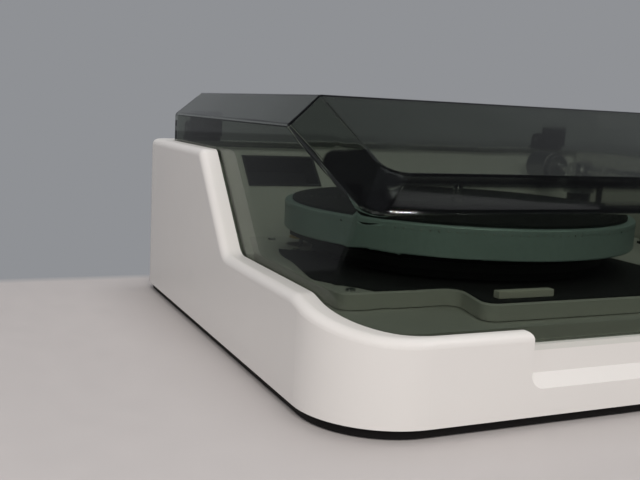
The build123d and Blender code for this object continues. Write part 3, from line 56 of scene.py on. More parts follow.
MM = 0.001
MERGE_DISTANCE = 0.001 * MM
Colour = tuple[float, float, float]
STEEL: Colour = (0.55, 0.55, 0.54)
BRASS: Colour = (0.62, 0.45, 0.20)


class Body(str, Enum):
    """Moving groups of the frame that new pieces ride on."""

    PLATTER = "platter"
    COUNTERWEIGHT = "counterweight"


class Axis(Enum):
    """Directions that a turned or brushed pattern runs round or along."""

    X = (0.0, math.pi / 2, 0.0)
    Y = (math.pi / 2, 0.0, 0.0)
    Z = (0.0, 0.0, 0.0)


class Glow(Enum):
    """Colours of the lamps' light."""

    WARM = (1.0, 0.975, 0.95)
    PALE = (1.0, 0.98, 0.95)
    COOL = (0.97, 0.98, 1.0)


class Graph:
    """The node tree of a material or of the world, with short calls to add and join nodes."""

    def __init__(self, owner: bpy.types.Material | bpy.types.World) -> None:
        """Empties the owner's tree.

        Args:
            owner: The material or world that the nodes are for.
        """
        owner.use_nodes = True
        self.owner = owner
        self.tree = owner.node_tree
        self.tree.nodes.clear()

    @classmethod
    def of_material(cls, name: str) -> "Graph":
        """Starts a new material's tree."""
        return cls(bpy.data.materials.new(name))

    def node(self, kind: str, settings: dict[str, Any] | None = None, **inputs: Any) -> bpy.types.Node:
        """Adds a node.

        Args:
            kind: The node's type name.
            settings: Properties of the node itself.
            inputs: Values or output sockets by input name, with _ for a space.

        Returns:
            The new node.
        """
        made = self.tree.nodes.new(kind)
        for key, value in (settings or {}).items():
            setattr(made, key, value)
        for key, value in inputs.items():
            socket = made.inputs[int(key[1:])] if key[1:].isdigit() else made.inputs[key.replace("_", " ")]
            if isinstance(value, bpy.types.NodeSocket):
                self.tree.links.new(value, socket)
            else:
                socket.default_value = value
        return made

    def place(self, centre: Vector | tuple = (0, 0, 0), turn: tuple = (0, 0, 0)) -> bpy.types.NodeSocket:
        """The piece's own coordinates, moved to a centre and turned.

        Args:
            centre: The point that becomes the pattern's origin.
            turn: Euler angles that bring the pattern's axis upright.

        Returns:
            The vector socket.
        """
        here = self.node("ShaderNodeTexCoord").outputs["Object"]
        moved = self.node("ShaderNodeVectorMath", {"operation": "SUBTRACT"}, _0=here, _1=tuple(centre))
        return self.node("ShaderNodeMapping", Vector=moved.outputs[0], Rotation=turn).outputs[0]

    def noise(self, where: bpy.types.NodeSocket, scale: float, detail: float = 3.0) -> bpy.types.NodeSocket:
        """Soft random values between 0 and 1.

        Args:
            where: The coordinates to read.
            scale: Patches per metre.
            detail: Octaves of finer patches.

        Returns:
            The value socket.
        """
        return self.node("ShaderNodeTexNoise", Vector=where, Scale=scale, Detail=detail).outputs[0]

    def span(
        self, value: bpy.types.NodeSocket, low: float, high: float, start: float = 0.3, end: float = 0.7
    ) -> bpy.types.NodeSocket:
        """A value brought from start..end to low..high.

        Args:
            value: The socket to remap.
            low: The result at start.
            high: The result at end.
            start: The lower input.
            end: The upper input.

        Returns:
            The remapped value socket.
        """
        limits = {"_1": start, "_2": end, "_3": low, "_4": high}
        return self.node("ShaderNodeMapRange", {"clamp": True}, _0=value, **limits).outputs[0]

    def math(self, operation: str, first: Any, second: Any = 0.0) -> bpy.types.NodeSocket:
        """Two values joined by an operation.

        Args:
            operation: How they are joined.
            first: A value or a socket.
            second: A value or a socket, which an operation on one value leaves aside.

        Returns:
            The value socket.
        """
        return self.node("ShaderNodeMath", {"operation": operation}, _0=first, _1=second).outputs[0]

    def mix(
        self, share: bpy.types.NodeSocket, first: bpy.types.Node, second: bpy.types.Node
    ) -> bpy.types.Node:
        """A mix of two shaders.

        Args:
            share: How much of the second shader shows.
            first: A shader node.
            second: A shader node.

        Returns:
            The mixing node.
        """
        return self.node("ShaderNodeMixShader", _0=share, _1=first.outputs[0], _2=second.outputs[0])

    def blend(self, share: bpy.types.NodeSocket, first: Any, second: Any) -> bpy.types.NodeSocket:
        """A mix of two colours.

        Args:
            share: How much of the second colour shows.
            first: A colour or a colour socket.
            second: A colour or a colour socket.

        Returns:
            The colour socket.
        """
        colours = {
            slot: colour if isinstance(colour, bpy.types.NodeSocket) else (*colour, 1.0)
            for slot, colour in (("_6", first), ("_7", second))
        }
        return self.node("ShaderNodeMix", {"data_type": "RGBA"}, _0=share, **colours).outputs[2]

    def bump(self, height: bpy.types.NodeSocket, depth: float) -> bpy.types.NodeSocket:
        """A surface normal roughened by a height pattern.

        Args:
            height: The pattern.
            depth: The height of the pattern in metres.

        Returns:
            The normal socket.
        """
        return self.node("ShaderNodeBump", Height=height, Distance=depth, Strength=1.0).outputs[0]

    def close(self, surface: bpy.types.Node) -> bpy.types.Material | bpy.types.World:
        """Joins a shader to the output.

        Args:
            surface: The shader node.

        Returns:
            The finished material or world.
        """
        kind = "World" if isinstance(self.owner, bpy.types.World) else "Material"
        self.node(f"ShaderNodeOutput{kind}", Surface=surface.outputs[0])
        return self.owner


def shade(colour: Colour, factor: float) -> Colour:
    """A colour made lighter or darker by a factor."""
    return tuple(min(1.0, part * factor) for part in colour)


@dataclass(frozen=True)
class Moulding:
    """Injection-moulded plastic: faint mottling, spark-eroded grain and dust."""

    name: str
    colour: Colour
    roughness: float
    gloss: float = 0.5
    roughness_change: tuple[float, float] = (-0.05, 0.07)
    wipe_scale: float = 34.0
    grain_scale: float = 2600.0
    grain_depth: float = 0.02 * MM
    mottle: float = 0.02
    mottle_scale: float = 9.0
    dust: float = 0.06
    dust_colour: Colour = (0.42, 0.41, 0.39)
    speck_scale: float = 140.0
    speck_edge: tuple[float, float] = (0.02, 0.07)

    def material(self) -> bpy.types.Material:
        """Builds the finish.

        Returns:
            The material.
        """
        graph = Graph.of_material(self.name)
        here = graph.place()
        patches = graph.noise(here, self.mottle_scale)
        tone = graph.blend(patches, shade(self.colour, 1 - self.mottle), shade(self.colour, 1 + self.mottle))
        specks = graph.node("ShaderNodeTexVoronoi", Vector=here, Scale=self.speck_scale).outputs["Distance"]
        settled = graph.span(specks, self.dust, 0.0, *self.speck_edge)
        wiped = graph.noise(here, self.wipe_scale, detail=5.0)
        smoother, rougher = self.roughness_change
        shader = graph.node(
            "ShaderNodeBsdfPrincipled",
            Base_Color=graph.blend(settled, tone, self.dust_colour),
            Roughness=graph.span(wiped, self.roughness + smoother, self.roughness + rougher),
            Specular_IOR_Level=self.gloss,
            Normal=graph.bump(graph.noise(here, self.grain_scale, detail=2.0), self.grain_depth),
        )
        return graph.close(shader)


@dataclass(frozen=True)
class PaintedFoldShade:
    """Painted shade: dark images painted into the tint of the hood's fold, for what its bent edges gather
    from the black parts inside.

    One lies round the corner on both sides, and two run along the front with a clear strip between them.
    """

    corner: tuple[float, float, float]
    corner_radius: float
    front: tuple[float, float]
    strip_height: float
    strip_half: float
    strip_end: float
    # painted shade: the near-black colour of the dark images painted on the fold
    tint: Colour = (0.010, 0.011, 0.012)
    edge: float = 1.2 * MM
    wave: float = 7 * MM
    wave_scale: float = 38.0

    def shadow(self, graph: Graph, here: bpy.types.NodeSocket) -> bpy.types.NodeSocket:
        """How much of the painted dark image shows at each point.

        Args:
            graph: The material's tree.
            here: The piece's coordinates.

        Returns:
            The share, from 0 to 1.
        """
        both_sides = graph.node("ShaderNodeVectorMath", {"operation": "ABSOLUTE"}, _0=here).outputs[0]
        measure = {"operation": "DISTANCE"}
        reach = graph.node("ShaderNodeVectorMath", measure, _0=both_sides, _1=self.corner).outputs[1]
        wave = graph.span(graph.noise(here, self.wave_scale, detail=1.0), -self.wave, self.wave)
        inner, outer = self.corner_radius - self.edge, self.corner_radius + self.edge
        # painted shade pooled round the corner
        corner_painted_shade = graph.span(graph.math("ADD", reach, wave), 1.0, 0.0, inner, outer)
        place = graph.node("ShaderNodeSeparateXYZ", Vector=both_sides).outputs
        along_front = graph.span(place["Y"], 0.0, 1.0, *self.front)
        off_strip = graph.math("ABSOLUTE", graph.math("SUBTRACT", place["Z"], self.strip_height))
        border = graph.span(off_strip, 0.0, 1.0, self.strip_half, self.strip_half + 2 * self.edge)
        end = graph.span(place["X"], 0.0, 1.0, self.strip_end, self.strip_end + 4 * self.edge)
        # painted shade in two bands along the front, clear in the strip between them
        front_painted_shade = graph.math("MULTIPLY", along_front, graph.math("MAXIMUM", border, end))
        return graph.math("MAXIMUM", corner_painted_shade, front_painted_shade)


@dataclass(frozen=True)
class SmokedAcrylic:
    """Polished smoked acrylic with slight waves from forming, faint clouding and wipe marks."""

    name: str
    tint: Colour
    index: float = 1.49
    roughness: float = 0.02
    wave_scale: float = 11.0
    wave_depth: float = 0.5 * MM
    wipe_scale: float = 26.0
    wipe_edge: tuple[float, float] = (0.45, 0.75)
    wipe_roughness: float = 0.035
    cloud: float = 0.03
    cloud_scale: float = 6.0
    # painted shade: the fold's dark images, painted into the tint
    fold: PaintedFoldShade | None = None

    def material(self) -> bpy.types.Material:
        """Builds the finish, with painted shade where a fold is given; light from lamps passes it tinted once
        per face.

        Returns:
            The material.
        """
        graph = Graph.of_material(self.name)
        here = graph.place()
        wiped = graph.noise(here, self.wipe_scale, detail=6.0)
        rougher = self.roughness + self.wipe_roughness
        clouds = graph.noise(here, self.cloud_scale)
        tone = graph.blend(clouds, shade(self.tint, 1 - self.cloud), shade(self.tint, 1 + self.cloud))
        # painted shade: the fold's dark images mixed into the tint
        if self.fold:
            tone = graph.blend(self.fold.shadow(graph, here), tone, self.fold.tint)
        glass = graph.node(
            "ShaderNodeBsdfPrincipled",
            Base_Color=tone,
            Roughness=graph.span(wiped, self.roughness, rougher, *self.wipe_edge),
            IOR=self.index,
            Transmission_Weight=1.0,
            Normal=graph.bump(graph.noise(here, self.wave_scale, detail=1.0), self.wave_depth),
        )
        per_face = tuple(math.sqrt(part) for part in self.tint)
        film = graph.node("ShaderNodeBsdfTransparent", Color=(*per_face, 1.0))
        path = graph.node("ShaderNodeLightPath").outputs
        lamp_rays = graph.math("MAXIMUM", path["Is Shadow Ray"], path["Is Diffuse Ray"])
        return graph.close(graph.mix(lamp_rays, glass, film))


@dataclass(frozen=True)
class TurnedMetal:
    """Metal turned on a lathe: fine rings round an axis and a few scuffs."""

    name: str
    colour: Colour
    centre: tuple[float, float, float]
    axis: Axis
    roughness: float = 0.28
    metallic: float = 1.0
    roughness_change: tuple[float, float] = (-0.05, 0.08)
    ring_scale: float = 420.0
    ring_depth: float = 0.012 * MM
    ring_distortion: float = 1.5
    ring_tones: tuple[float, float] = (0.93, 1.05)
    scuff_scale: float = 60.0
    scuff_edge: tuple[float, float] = (0.55, 0.8)
    scuff_share: float = 0.12
    scuff_tone: float = 1.3

    def material(self) -> bpy.types.Material:
        """Builds the finish.

        Returns:
            The material.
        """
        graph = Graph.of_material(self.name)
        here = graph.place(self.centre, self.axis.value)
        rings = graph.node(
            "ShaderNodeTexWave",
            {"wave_type": "RINGS", "rings_direction": "Z"},
            Vector=here,
            Scale=self.ring_scale,
            Distortion=self.ring_distortion,
        ).outputs[1]
        scuffs = graph.noise(here, self.scuff_scale, detail=6.0)
        tone = graph.blend(rings, *(shade(self.colour, factor) for factor in self.ring_tones))
        scuffed = graph.span(scuffs, 0.0, self.scuff_share, *self.scuff_edge)
        smoother, rougher = self.roughness_change
        shader = graph.node(
            "ShaderNodeBsdfPrincipled",
            Base_Color=graph.blend(scuffed, tone, shade(self.colour, self.scuff_tone)),
            Metallic=self.metallic,
            Roughness=graph.span(scuffs, self.roughness + smoother, self.roughness + rougher),
            Normal=graph.bump(rings, self.ring_depth),
        )
        return graph.close(shader)


@dataclass(frozen=True)
class BrushedMetal:
    """Drawn or plated metal with fine lines along an axis."""

    name: str
    colour: Colour
    axis: Axis
    roughness: float = 0.22
    roughness_change: tuple[float, float] = (-0.06, 0.1)
    line_stretch: float = 40.0
    line_scale: float = 2400.0
    line_depth: float = 0.006 * MM
    line_tones: tuple[float, float] = (0.92, 1.04)
    smudge_scale: float = 90.0

    def material(self) -> bpy.types.Material:
        """Builds the finish.

        Returns:
            The material.
        """
        graph = Graph.of_material(self.name)
        here = graph.place(turn=self.axis.value)
        stretch = (1.0, 1.0, 1.0 / self.line_stretch)
        along = graph.node("ShaderNodeMapping", Vector=here, Scale=stretch).outputs[0]
        lines = graph.noise(along, self.line_scale, detail=2.0)
        smudge = graph.noise(here, self.smudge_scale, detail=4.0)
        smoother, rougher = self.roughness_change
        shader = graph.node(
            "ShaderNodeBsdfPrincipled",
            Base_Color=graph.blend(lines, *(shade(self.colour, factor) for factor in self.line_tones)),
            Metallic=1.0,
            Roughness=graph.span(smudge, self.roughness + smoother, self.roughness + rougher),
            Normal=graph.bump(lines, self.line_depth),
        )
        return graph.close(shader)


@dataclass(frozen=True)
class Rubber:
    """Moulded rubber: matt, with a bloom that is paler in patches."""

    name: str
    colour: Colour = (0.018, 0.018, 0.019)
    roughness: float = 0.78
    roughness_change: tuple[float, float] = (-0.08, 0.1)
    gloss: float = 0.3
    bloom_scale: float = 45.0
    bloom_tones: tuple[float, float] = (0.75, 1.6)
    grain_scale: float = 1800.0
    grain_depth: float = 0.03 * MM

    def material(self) -> bpy.types.Material:
        """Builds the finish.

        Returns:
            The material.
        """
        graph = Graph.of_material(self.name)
        here = graph.place()
        bloom = graph.noise(here, self.bloom_scale, detail=5.0)
        smoother, rougher = self.roughness_change
        shader = graph.node(
            "ShaderNodeBsdfPrincipled",
            Base_Color=graph.blend(bloom, *(shade(self.colour, factor) for factor in self.bloom_tones)),
            Roughness=graph.span(bloom, self.roughness + smoother, self.roughness + rougher),
            Specular_IOR_Level=self.gloss,
            Normal=graph.bump(graph.noise(here, self.grain_scale), self.grain_depth),
        )
        return graph.close(shader)


@dataclass(frozen=True)
class Laminate:
    """Layered sheet, as in a circuit board or a transformer core."""

    name: str
    colour: Colour
    layer: Colour
    axis: Axis
    layer_scale: float
    layer_depth: float = 0.05 * MM
    layer_distortion: float = 0.6
    roughness: tuple[float, float] = (0.4, 0.65)
    patch_scale: float = 40.0
    patch_share: float = 0.35
    patch_tone: float = 0.6

    def material(self) -> bpy.types.Material:
        """Builds the finish.

        Returns:
            The material.
        """
        graph = Graph.of_material(self.name)
        here = graph.place(turn=self.axis.value)
        layers = graph.node(
            "ShaderNodeTexWave",
            {"wave_type": "BANDS", "bands_direction": "Z"},
            Vector=here,
            Scale=self.layer_scale,
            Distortion=self.layer_distortion,
        ).outputs[1]
        patches = graph.noise(here, self.patch_scale, detail=4.0)
        tone = graph.blend(layers, self.colour, self.layer)
        worn = graph.span(patches, 0.0, self.patch_share)
        shader = graph.node(
            "ShaderNodeBsdfPrincipled",
            Base_Color=graph.blend(worn, tone, shade(self.colour, self.patch_tone)),
            Roughness=graph.span(patches, *self.roughness),
            Normal=graph.bump(layers, self.layer_depth),
        )
        return graph.close(shader)


def middle(node: str) -> Vector:
    """The middle of a node's box."""
    low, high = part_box(node)
    return (Vector(low) + Vector(high)) / 2


def dress(piece: bpy.types.Object, material: bpy.types.Material) -> None:
    """Gives a piece one material on all its faces.

    Args:
        piece: The object to dress.
        material: Its finish.
    """
    piece.data.materials.clear()
    piece.data.materials.append(material)
    for face in piece.data.polygons:
        face.material_index = 0


def dress_all(finishes: dict[bpy.types.Material, tuple[str, ...]]) -> None:
    """Dresses groups of nodes and reports each one.

    Args:
        finishes: Node names by material.
    """
    for material, names in finishes.items():
        for name in names:
            dress(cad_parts[name], material)
            log.info("%s dressed in %s", name, material.name)


def piece_from(mesh_form: bmesh.types.BMesh, name: str, smooth_angle: float = 35.0) -> bpy.types.Object:
    """Turns a bmesh into an object with outward faces and soft shading.

    Args:
        mesh_form: The finished form, which is freed.
        name: The piece's name.
        smooth_angle: Edges sharper than this stay crisp.

    Returns:
        The new object.
    """
    bmesh.ops.remove_doubles(mesh_form, verts=mesh_form.verts, dist=MERGE_DISTANCE)
    bmesh.ops.recalc_face_normals(mesh_form, faces=mesh_form.faces)
    for face in mesh_form.faces:
        face.smooth = True
    limit = math.radians(smooth_angle)
    for edge in mesh_form.edges:
        edge.smooth = edge.is_manifold and edge.calc_face_angle() < limit
    mesh = bpy.data.meshes.new(name)
    mesh_form.to_mesh(mesh)
    mesh_form.free()
    made = bpy.data.objects.new(name, mesh)
    bpy.context.scene.collection.objects.link(made)
    return made


def spun(profile: Iterable[tuple[float, float]], centre: Vector, steps: int) -> bmesh.types.BMesh:
    """A closed profile of radius and height turned once round an upright axis.

    Args:
        profile: Corners of the section, as radius and height.
        centre: A point on the axis; heights count from it.
        steps: Facets of one turn.

    Returns:
        The turned form.
    """
    form = bmesh.new()
    corners = [form.verts.new(centre + Vector((radius, 0, height))) for radius, height in profile]
    edges = [form.edges.new(pair) for pair in zip(corners, corners[1:] + corners[:1])]
    bmesh.ops.spin(
        form,
        geom=corners + edges,
        cent=centre,
        axis=(0, 0, 1),
        angle=math.tau,
        steps=steps,
        use_merge=True,
    )
    return form


@dataclass
class Casework:
    """Plinth, deck moulding, unit plate, tray, base and hood."""

    white: Moulding = Moulding("white_moulding", (0.74, 0.71, 0.68), 0.36)
    deck_white: Moulding = Moulding("deck_moulding", (0.62, 0.61, 0.57), 0.42)
    black: Moulding = Moulding(
        "black_moulding", (0.010, 0.009, 0.009), 0.6, dust=0.01, mottle=0.15, gloss=0.12
    )
    tray: Moulding = Moulding("tray_moulding", (0.024, 0.024, 0.029), 0.6, dust=0.02, mottle=0.15, gloss=0.12)
    smoke_tint: ClassVar[Colour] = (0.32, 0.345, 0.31)
    smoke: SmokedAcrylic = SmokedAcrylic("smoked_acrylic", smoke_tint)
    # painted shade: the fold's acrylic carries dark images painted into its tint
    fold_smoke_painted_shade: SmokedAcrylic = SmokedAcrylic(
        "folded_acrylic_painted_shade",
        smoke_tint,
        wave_depth=0.3 * MM,
        fold=PaintedFoldShade(
            corner=(193 * MM, 150 * MM, 122 * MM),
            corner_radius=22 * MM,
            front=(158 * MM, 164 * MM),
            strip_height=115.5 * MM,
            strip_half=2.6 * MM,
            strip_end=180 * MM,
        ),
    )
    wall_smoke: SmokedAcrylic = SmokedAcrylic("wall_acrylic", smoke_tint, index=1.16, wave_depth=0.0)
    wall_slope: float = 0.3
    fold_rear: float = -75 * MM
    fold_slope: tuple[float, float] = (0.5, 0.88)
    foot_rubber: Rubber = Rubber("foot_rubber")
    screw_steel: BrushedMetal = BrushedMetal("screw_steel", STEEL, Axis.Z)
    pin_steel: BrushedMetal = BrushedMetal("pin_steel", STEEL, Axis.X)

    def dress_nodes(self) -> None:
        """Gives the casework's solids their finishes."""
        blacks = ("base_pan", "hinge_base_left", "hinge_base_right", "hinge_leaf_left", "hinge_leaf_right")
        finishes = {
            self.black.material(): blacks,
            self.white.material(): ("plinth_shell",),
            self.deck_white.material(): ("deck_panel", "unit_plate"),
            self.tray.material(): ("accessory_tray",),
            self.smoke.material(): ("hood",),
            self.foot_rubber.material(): ("rubber_feet",),
            self.screw_steel.material(): ("base_screws",),
            self.pin_steel.material(): ("hinge_pin_left", "hinge_pin_right"),
        }
        dress_all(finishes)

    def finish_hood(self) -> None:
        """Gives the hood's fold its painted dark images (painted shade), and the upright walls their thin
        smoke.
        """
        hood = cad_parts["hood"].data
        hood.materials.append(self.fold_smoke_painted_shade.material())
        hood.materials.append(self.wall_smoke.material())
        shallow, steep = self.fold_slope
        for face in hood.polygons:
            slope = abs(face.normal.z)
            if face.center.y < self.fold_rear and shallow < slope < steep:
                face.material_index = 1
            elif slope < self.wall_slope:
                face.material_index = 2
        for index, finish in enumerate(hood.materials):
            count = sum(face.material_index == index for face in hood.polygons)
            log.info("hood has %d faces of %s", count, finish.name)


@dataclass
class Turntable:
    """Plate inlay, bearing, platter, mat, belt drive and the dots on the rim."""

    # the black inlay under the platter is partly a dark plate and partly painted shade for the shade beneath
    # the platter
    plate_black_and_painted_shade: Moulding = Moulding(
        "plate_black_and_painted_shade", (0.038, 0.038, 0.041), 0.75, dust=0.02, mottle=0.2, gloss=0.06
    )
    sub_black: Moulding = Moulding(
        "sub_platter_black", (0.010, 0.010, 0.011), 0.6, dust=0.02, mottle=0.2, gloss=0.12
    )
    cream: Moulding = Moulding("cream_moulding", (0.80, 0.77, 0.68), 0.4)
    mat_rubber: Rubber = Rubber("mat_rubber", (0.016, 0.017, 0.018))
    belt_rubber: Rubber = Rubber("belt_rubber", (0.012, 0.012, 0.012), 0.6)
    screw_steel: BrushedMetal = BrushedMetal("plate_screw_steel", (0.5, 0.5, 0.5), Axis.Z)
    motor_paint: Moulding = Moulding("motor_paint", (0.10, 0.10, 0.105), 0.4)
    platter_colour: Colour = (0.46, 0.60, 0.58)
    spindle_colour: Colour = (0.75, 0.75, 0.74)
    dot_metal: BrushedMetal = BrushedMetal("dot_metal", (0.58, 0.62, 0.60), Axis.Z, 0.3)
    dot_count: int = 144
    dot_radius: float = 0.7 * MM
    dot_height: float = 0.35 * MM
    dot_drop: float = 3.4 * MM
    dot_smooth_angle: float = 60.0
    mat_rib_count: int = 22
    mat_label_radius: float = 38 * MM
    mat_rib_height: float = 0.5 * MM
    mat_rib_shares: tuple[float, float, float] = (0.2, 0.6, 0.8)
    mat_hole_radius: float = 4.1 * MM
    mat_steps: int = 128
    axis_point: Vector = field(default_factory=lambda: middle("spindle_shaft"))

    def dress_nodes(self) -> None:
        """Gives the drive's solids their finishes."""
        centre = tuple(self.axis_point)
        motor = tuple(middle("motor_pulley"))
        platter = TurnedMetal(
            "platter_metal", self.platter_colour, centre, Axis.Z, roughness=0.34, metallic=0.35
        )
        spindle = TurnedMetal("spindle_steel", self.spindle_colour, centre, Axis.Z, roughness=0.14)
        finishes = {
            self.plate_black_and_painted_shade.material(): ("plate_inlay",),
            self.sub_black.material(): ("sub_platter",),
            self.cream.material(): ("control_bar",),
            self.belt_rubber.material(): ("drive_belt", "plate_grommets", "motor_grommets"),
            self.screw_steel.material(): ("plate_screws", "motor_screws", "thrust_ball", "motor_shaft"),
            self.motor_paint.material(): ("motor",),
            platter.material(): ("platter",),
            TurnedMetal("bearing_brass", BRASS, centre, Axis.Z).material(): ("bearing_housing",),
            TurnedMetal("pulley_brass", BRASS, motor, Axis.Z).material(): ("motor_pulley",),
            spindle.material(): ("spindle_shaft",),
        }
        dress_all(finishes)

    def build_mat(self) -> bpy.types.Object:
        """Models the ribbed mat that stands for the plain one.

        Returns:
            The mat, riding on the platter.
        """
        low, high = (Vector(corner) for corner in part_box("platter_mat"))
        outer = (high.x - low.x) / 2
        top = high.z - low.z
        flat = top - self.mat_rib_height
        rise, fall, foot = self.mat_rib_shares
        pitch = (outer - self.mat_label_radius) / self.mat_rib_count
        section = [(self.mat_hole_radius, 0.0), (outer, 0.0)]
        for rib in range(self.mat_rib_count):
            edge = outer - rib * pitch
            section += [
                (edge, flat),
                (edge - rise * pitch, top),
                (edge - fall * pitch, top),
                (edge - foot * pitch, flat),
            ]
        section += [(self.mat_label_radius, flat), (self.mat_hole_radius, flat)]
        floor = Vector((self.axis_point.x, self.axis_point.y, low.z))
        mat = piece_from(spun(section, floor, self.mat_steps), "ribbed_mat")
        dress(mat, self.mat_rubber.material())
        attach(mat, Body.PLATTER.value)
        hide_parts("platter_mat")
        return mat

    def build_dots(self) -> bpy.types.Object:
        """Models the row of bright dots round the top of the platter's rim.

        Returns:
            The dots, riding on the platter.
        """
        low, high = (Vector(corner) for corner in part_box("platter"))
        radius = (high.x - low.x) / 2
        middle_row = Matrix.Translation((self.axis_point.x, self.axis_point.y, high.z - self.dot_drop))
        flatten = Matrix.Diagonal((self.dot_height / self.dot_radius, 1.0, 1.0, 1.0))
        form = bmesh.new()
        for count in range(self.dot_count):
            turn = Matrix.Rotation(math.tau * count / self.dot_count, 4, "Z")
            seat = middle_row @ turn @ Matrix.Translation((radius, 0, 0)) @ flatten
            bmesh.ops.create_icosphere(form, subdivisions=1, radius=self.dot_radius, matrix=seat)
        dots = piece_from(form, "rim_dots", self.dot_smooth_angle)
        dress(dots, self.dot_metal.material())
        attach(dots, Body.PLATTER.value)
        return dots


@dataclass
class PickUpArm:
    """Arm base, yoke, tube, counterweight, head, rest and cueing lift."""

    black: Moulding = Moulding("arm_black", (0.016, 0.016, 0.017), 0.38, dust=0.03, mottle=0.15)
    stylus_cream: Moulding = Moulding("stylus_cream", (0.55, 0.50, 0.40), 0.35)
    nut_steel: BrushedMetal = BrushedMetal("nut_steel", STEEL, Axis.Z)
    lift_chrome: BrushedMetal = BrushedMetal("lift_chrome", (0.75, 0.75, 0.75), Axis.X, 0.12)
    tube_satin: BrushedMetal = BrushedMetal("tube_satin", (0.68, 0.68, 0.67), Axis.Y, 0.2)
    yoke_satin: BrushedMetal = BrushedMetal("yoke_satin", (0.45, 0.45, 0.45), Axis.Z, 0.3)
    weight_colour: Colour = (0.22, 0.22, 0.23)
    tick_count: int = 40
    tick_long_every: int = 5
    tick_width: float = 0.3 * MM
    tick_short: float = 1.2 * MM
    tick_long: float = 2.2 * MM
    tick_proud: float = 0.08 * MM
    tick_end_gap: float = 0.5 * MM
    ring_radius: float = 10 * MM
    mark_white: Moulding = Moulding("mark_white", (0.75, 0.75, 0.73), 0.5)

    def dress_nodes(self) -> None:
        """Gives the arm's solids their finishes."""
        weight = TurnedMetal("weight_metal", self.weight_colour, tuple(middle("counterweight")), Axis.Y, 0.35)
        blacks = (
            "arm_base",
            "headshell",
            "cartridge",
            "arm_rest",
            "rest_clip",
            "lift_housing",
            "lift_bar",
            "cue_bracket",
            "cue_lever",
        )
        finishes = {
            self.black.material(): blacks,
            self.stylus_cream.material(): ("stylus",),
            self.nut_steel.material(): ("arm_base_nut",),
            self.lift_chrome.material(): ("finger_lift", "arm_pivot_pin"),
            self.tube_satin.material(): ("arm_tube",),
            self.yoke_satin.material(): ("arm_yoke",),
            weight.material(): ("counterweight",),
        }
        dress_all(finishes)

    def build_ticks(self) -> bpy.types.Object:
        """Models the white marks round the counterweight's front ring.

        Returns:
            The marks, riding on the counterweight.
        """
        low = Vector(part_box("counterweight")[0])
        axis = middle("counterweight")
        form = bmesh.new()
        for count in range(self.tick_count):
            length = self.tick_short if count % self.tick_long_every else self.tick_long
            turn = Matrix.Rotation(math.tau * count / self.tick_count, 4, "Y")
            centre = Matrix.Translation((axis.x, low.y + self.tick_end_gap + length / 2, axis.z))
            size = Matrix.Diagonal((self.tick_width, length, 2 * self.tick_proud, 1.0))
            seat = centre @ turn @ Matrix.Translation((0, 0, self.ring_radius)) @ size
            bmesh.ops.create_cube(form, size=1.0, matrix=seat)
        ticks = piece_from(form, "weight_marks")
        dress(ticks, self.mark_white.material())
        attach(ticks, Body.COUNTERWEIGHT.value)
        return ticks


@dataclass
class Electrics:
    """Transformer, circuit board and the sockets in the rear wall."""

    board: Laminate = Laminate("board_laminate", (0.10, 0.16, 0.06), (0.13, 0.19, 0.08), Axis.Z, 2200.0)
    core: Laminate = Laminate("core_laminate", (0.09, 0.08, 0.07), (0.03, 0.025, 0.02), Axis.X, 700.0)
    black: Moulding = Moulding("socket_black", (0.015, 0.015, 0.015), 0.4, dust=0.03, mottle=0.15)

    def dress_nodes(self) -> None:
        """Gives the electrical solids their finishes."""
        brass = TurnedMetal("socket_brass", BRASS, tuple(middle("phono_sockets")), Axis.Y, 0.2)
        finishes = {
            self.board.material(): ("circuit_board",),
            self.core.material(): ("transformer",),
            self.black.material(): ("socket_plate", "mains_inlet"),
            brass.material(): ("phono_sockets",),
        }
        dress_all(finishes)


@dataclass(frozen=True)
class Lamp:
    """A lamp, round or with a length; a mirrored one shows in polished surfaces alone."""

    name: str
    place: tuple[float, float, float]
    size: float
    power: float
    glow: Glow
    mirrored: bool = False
    length: float | None = None


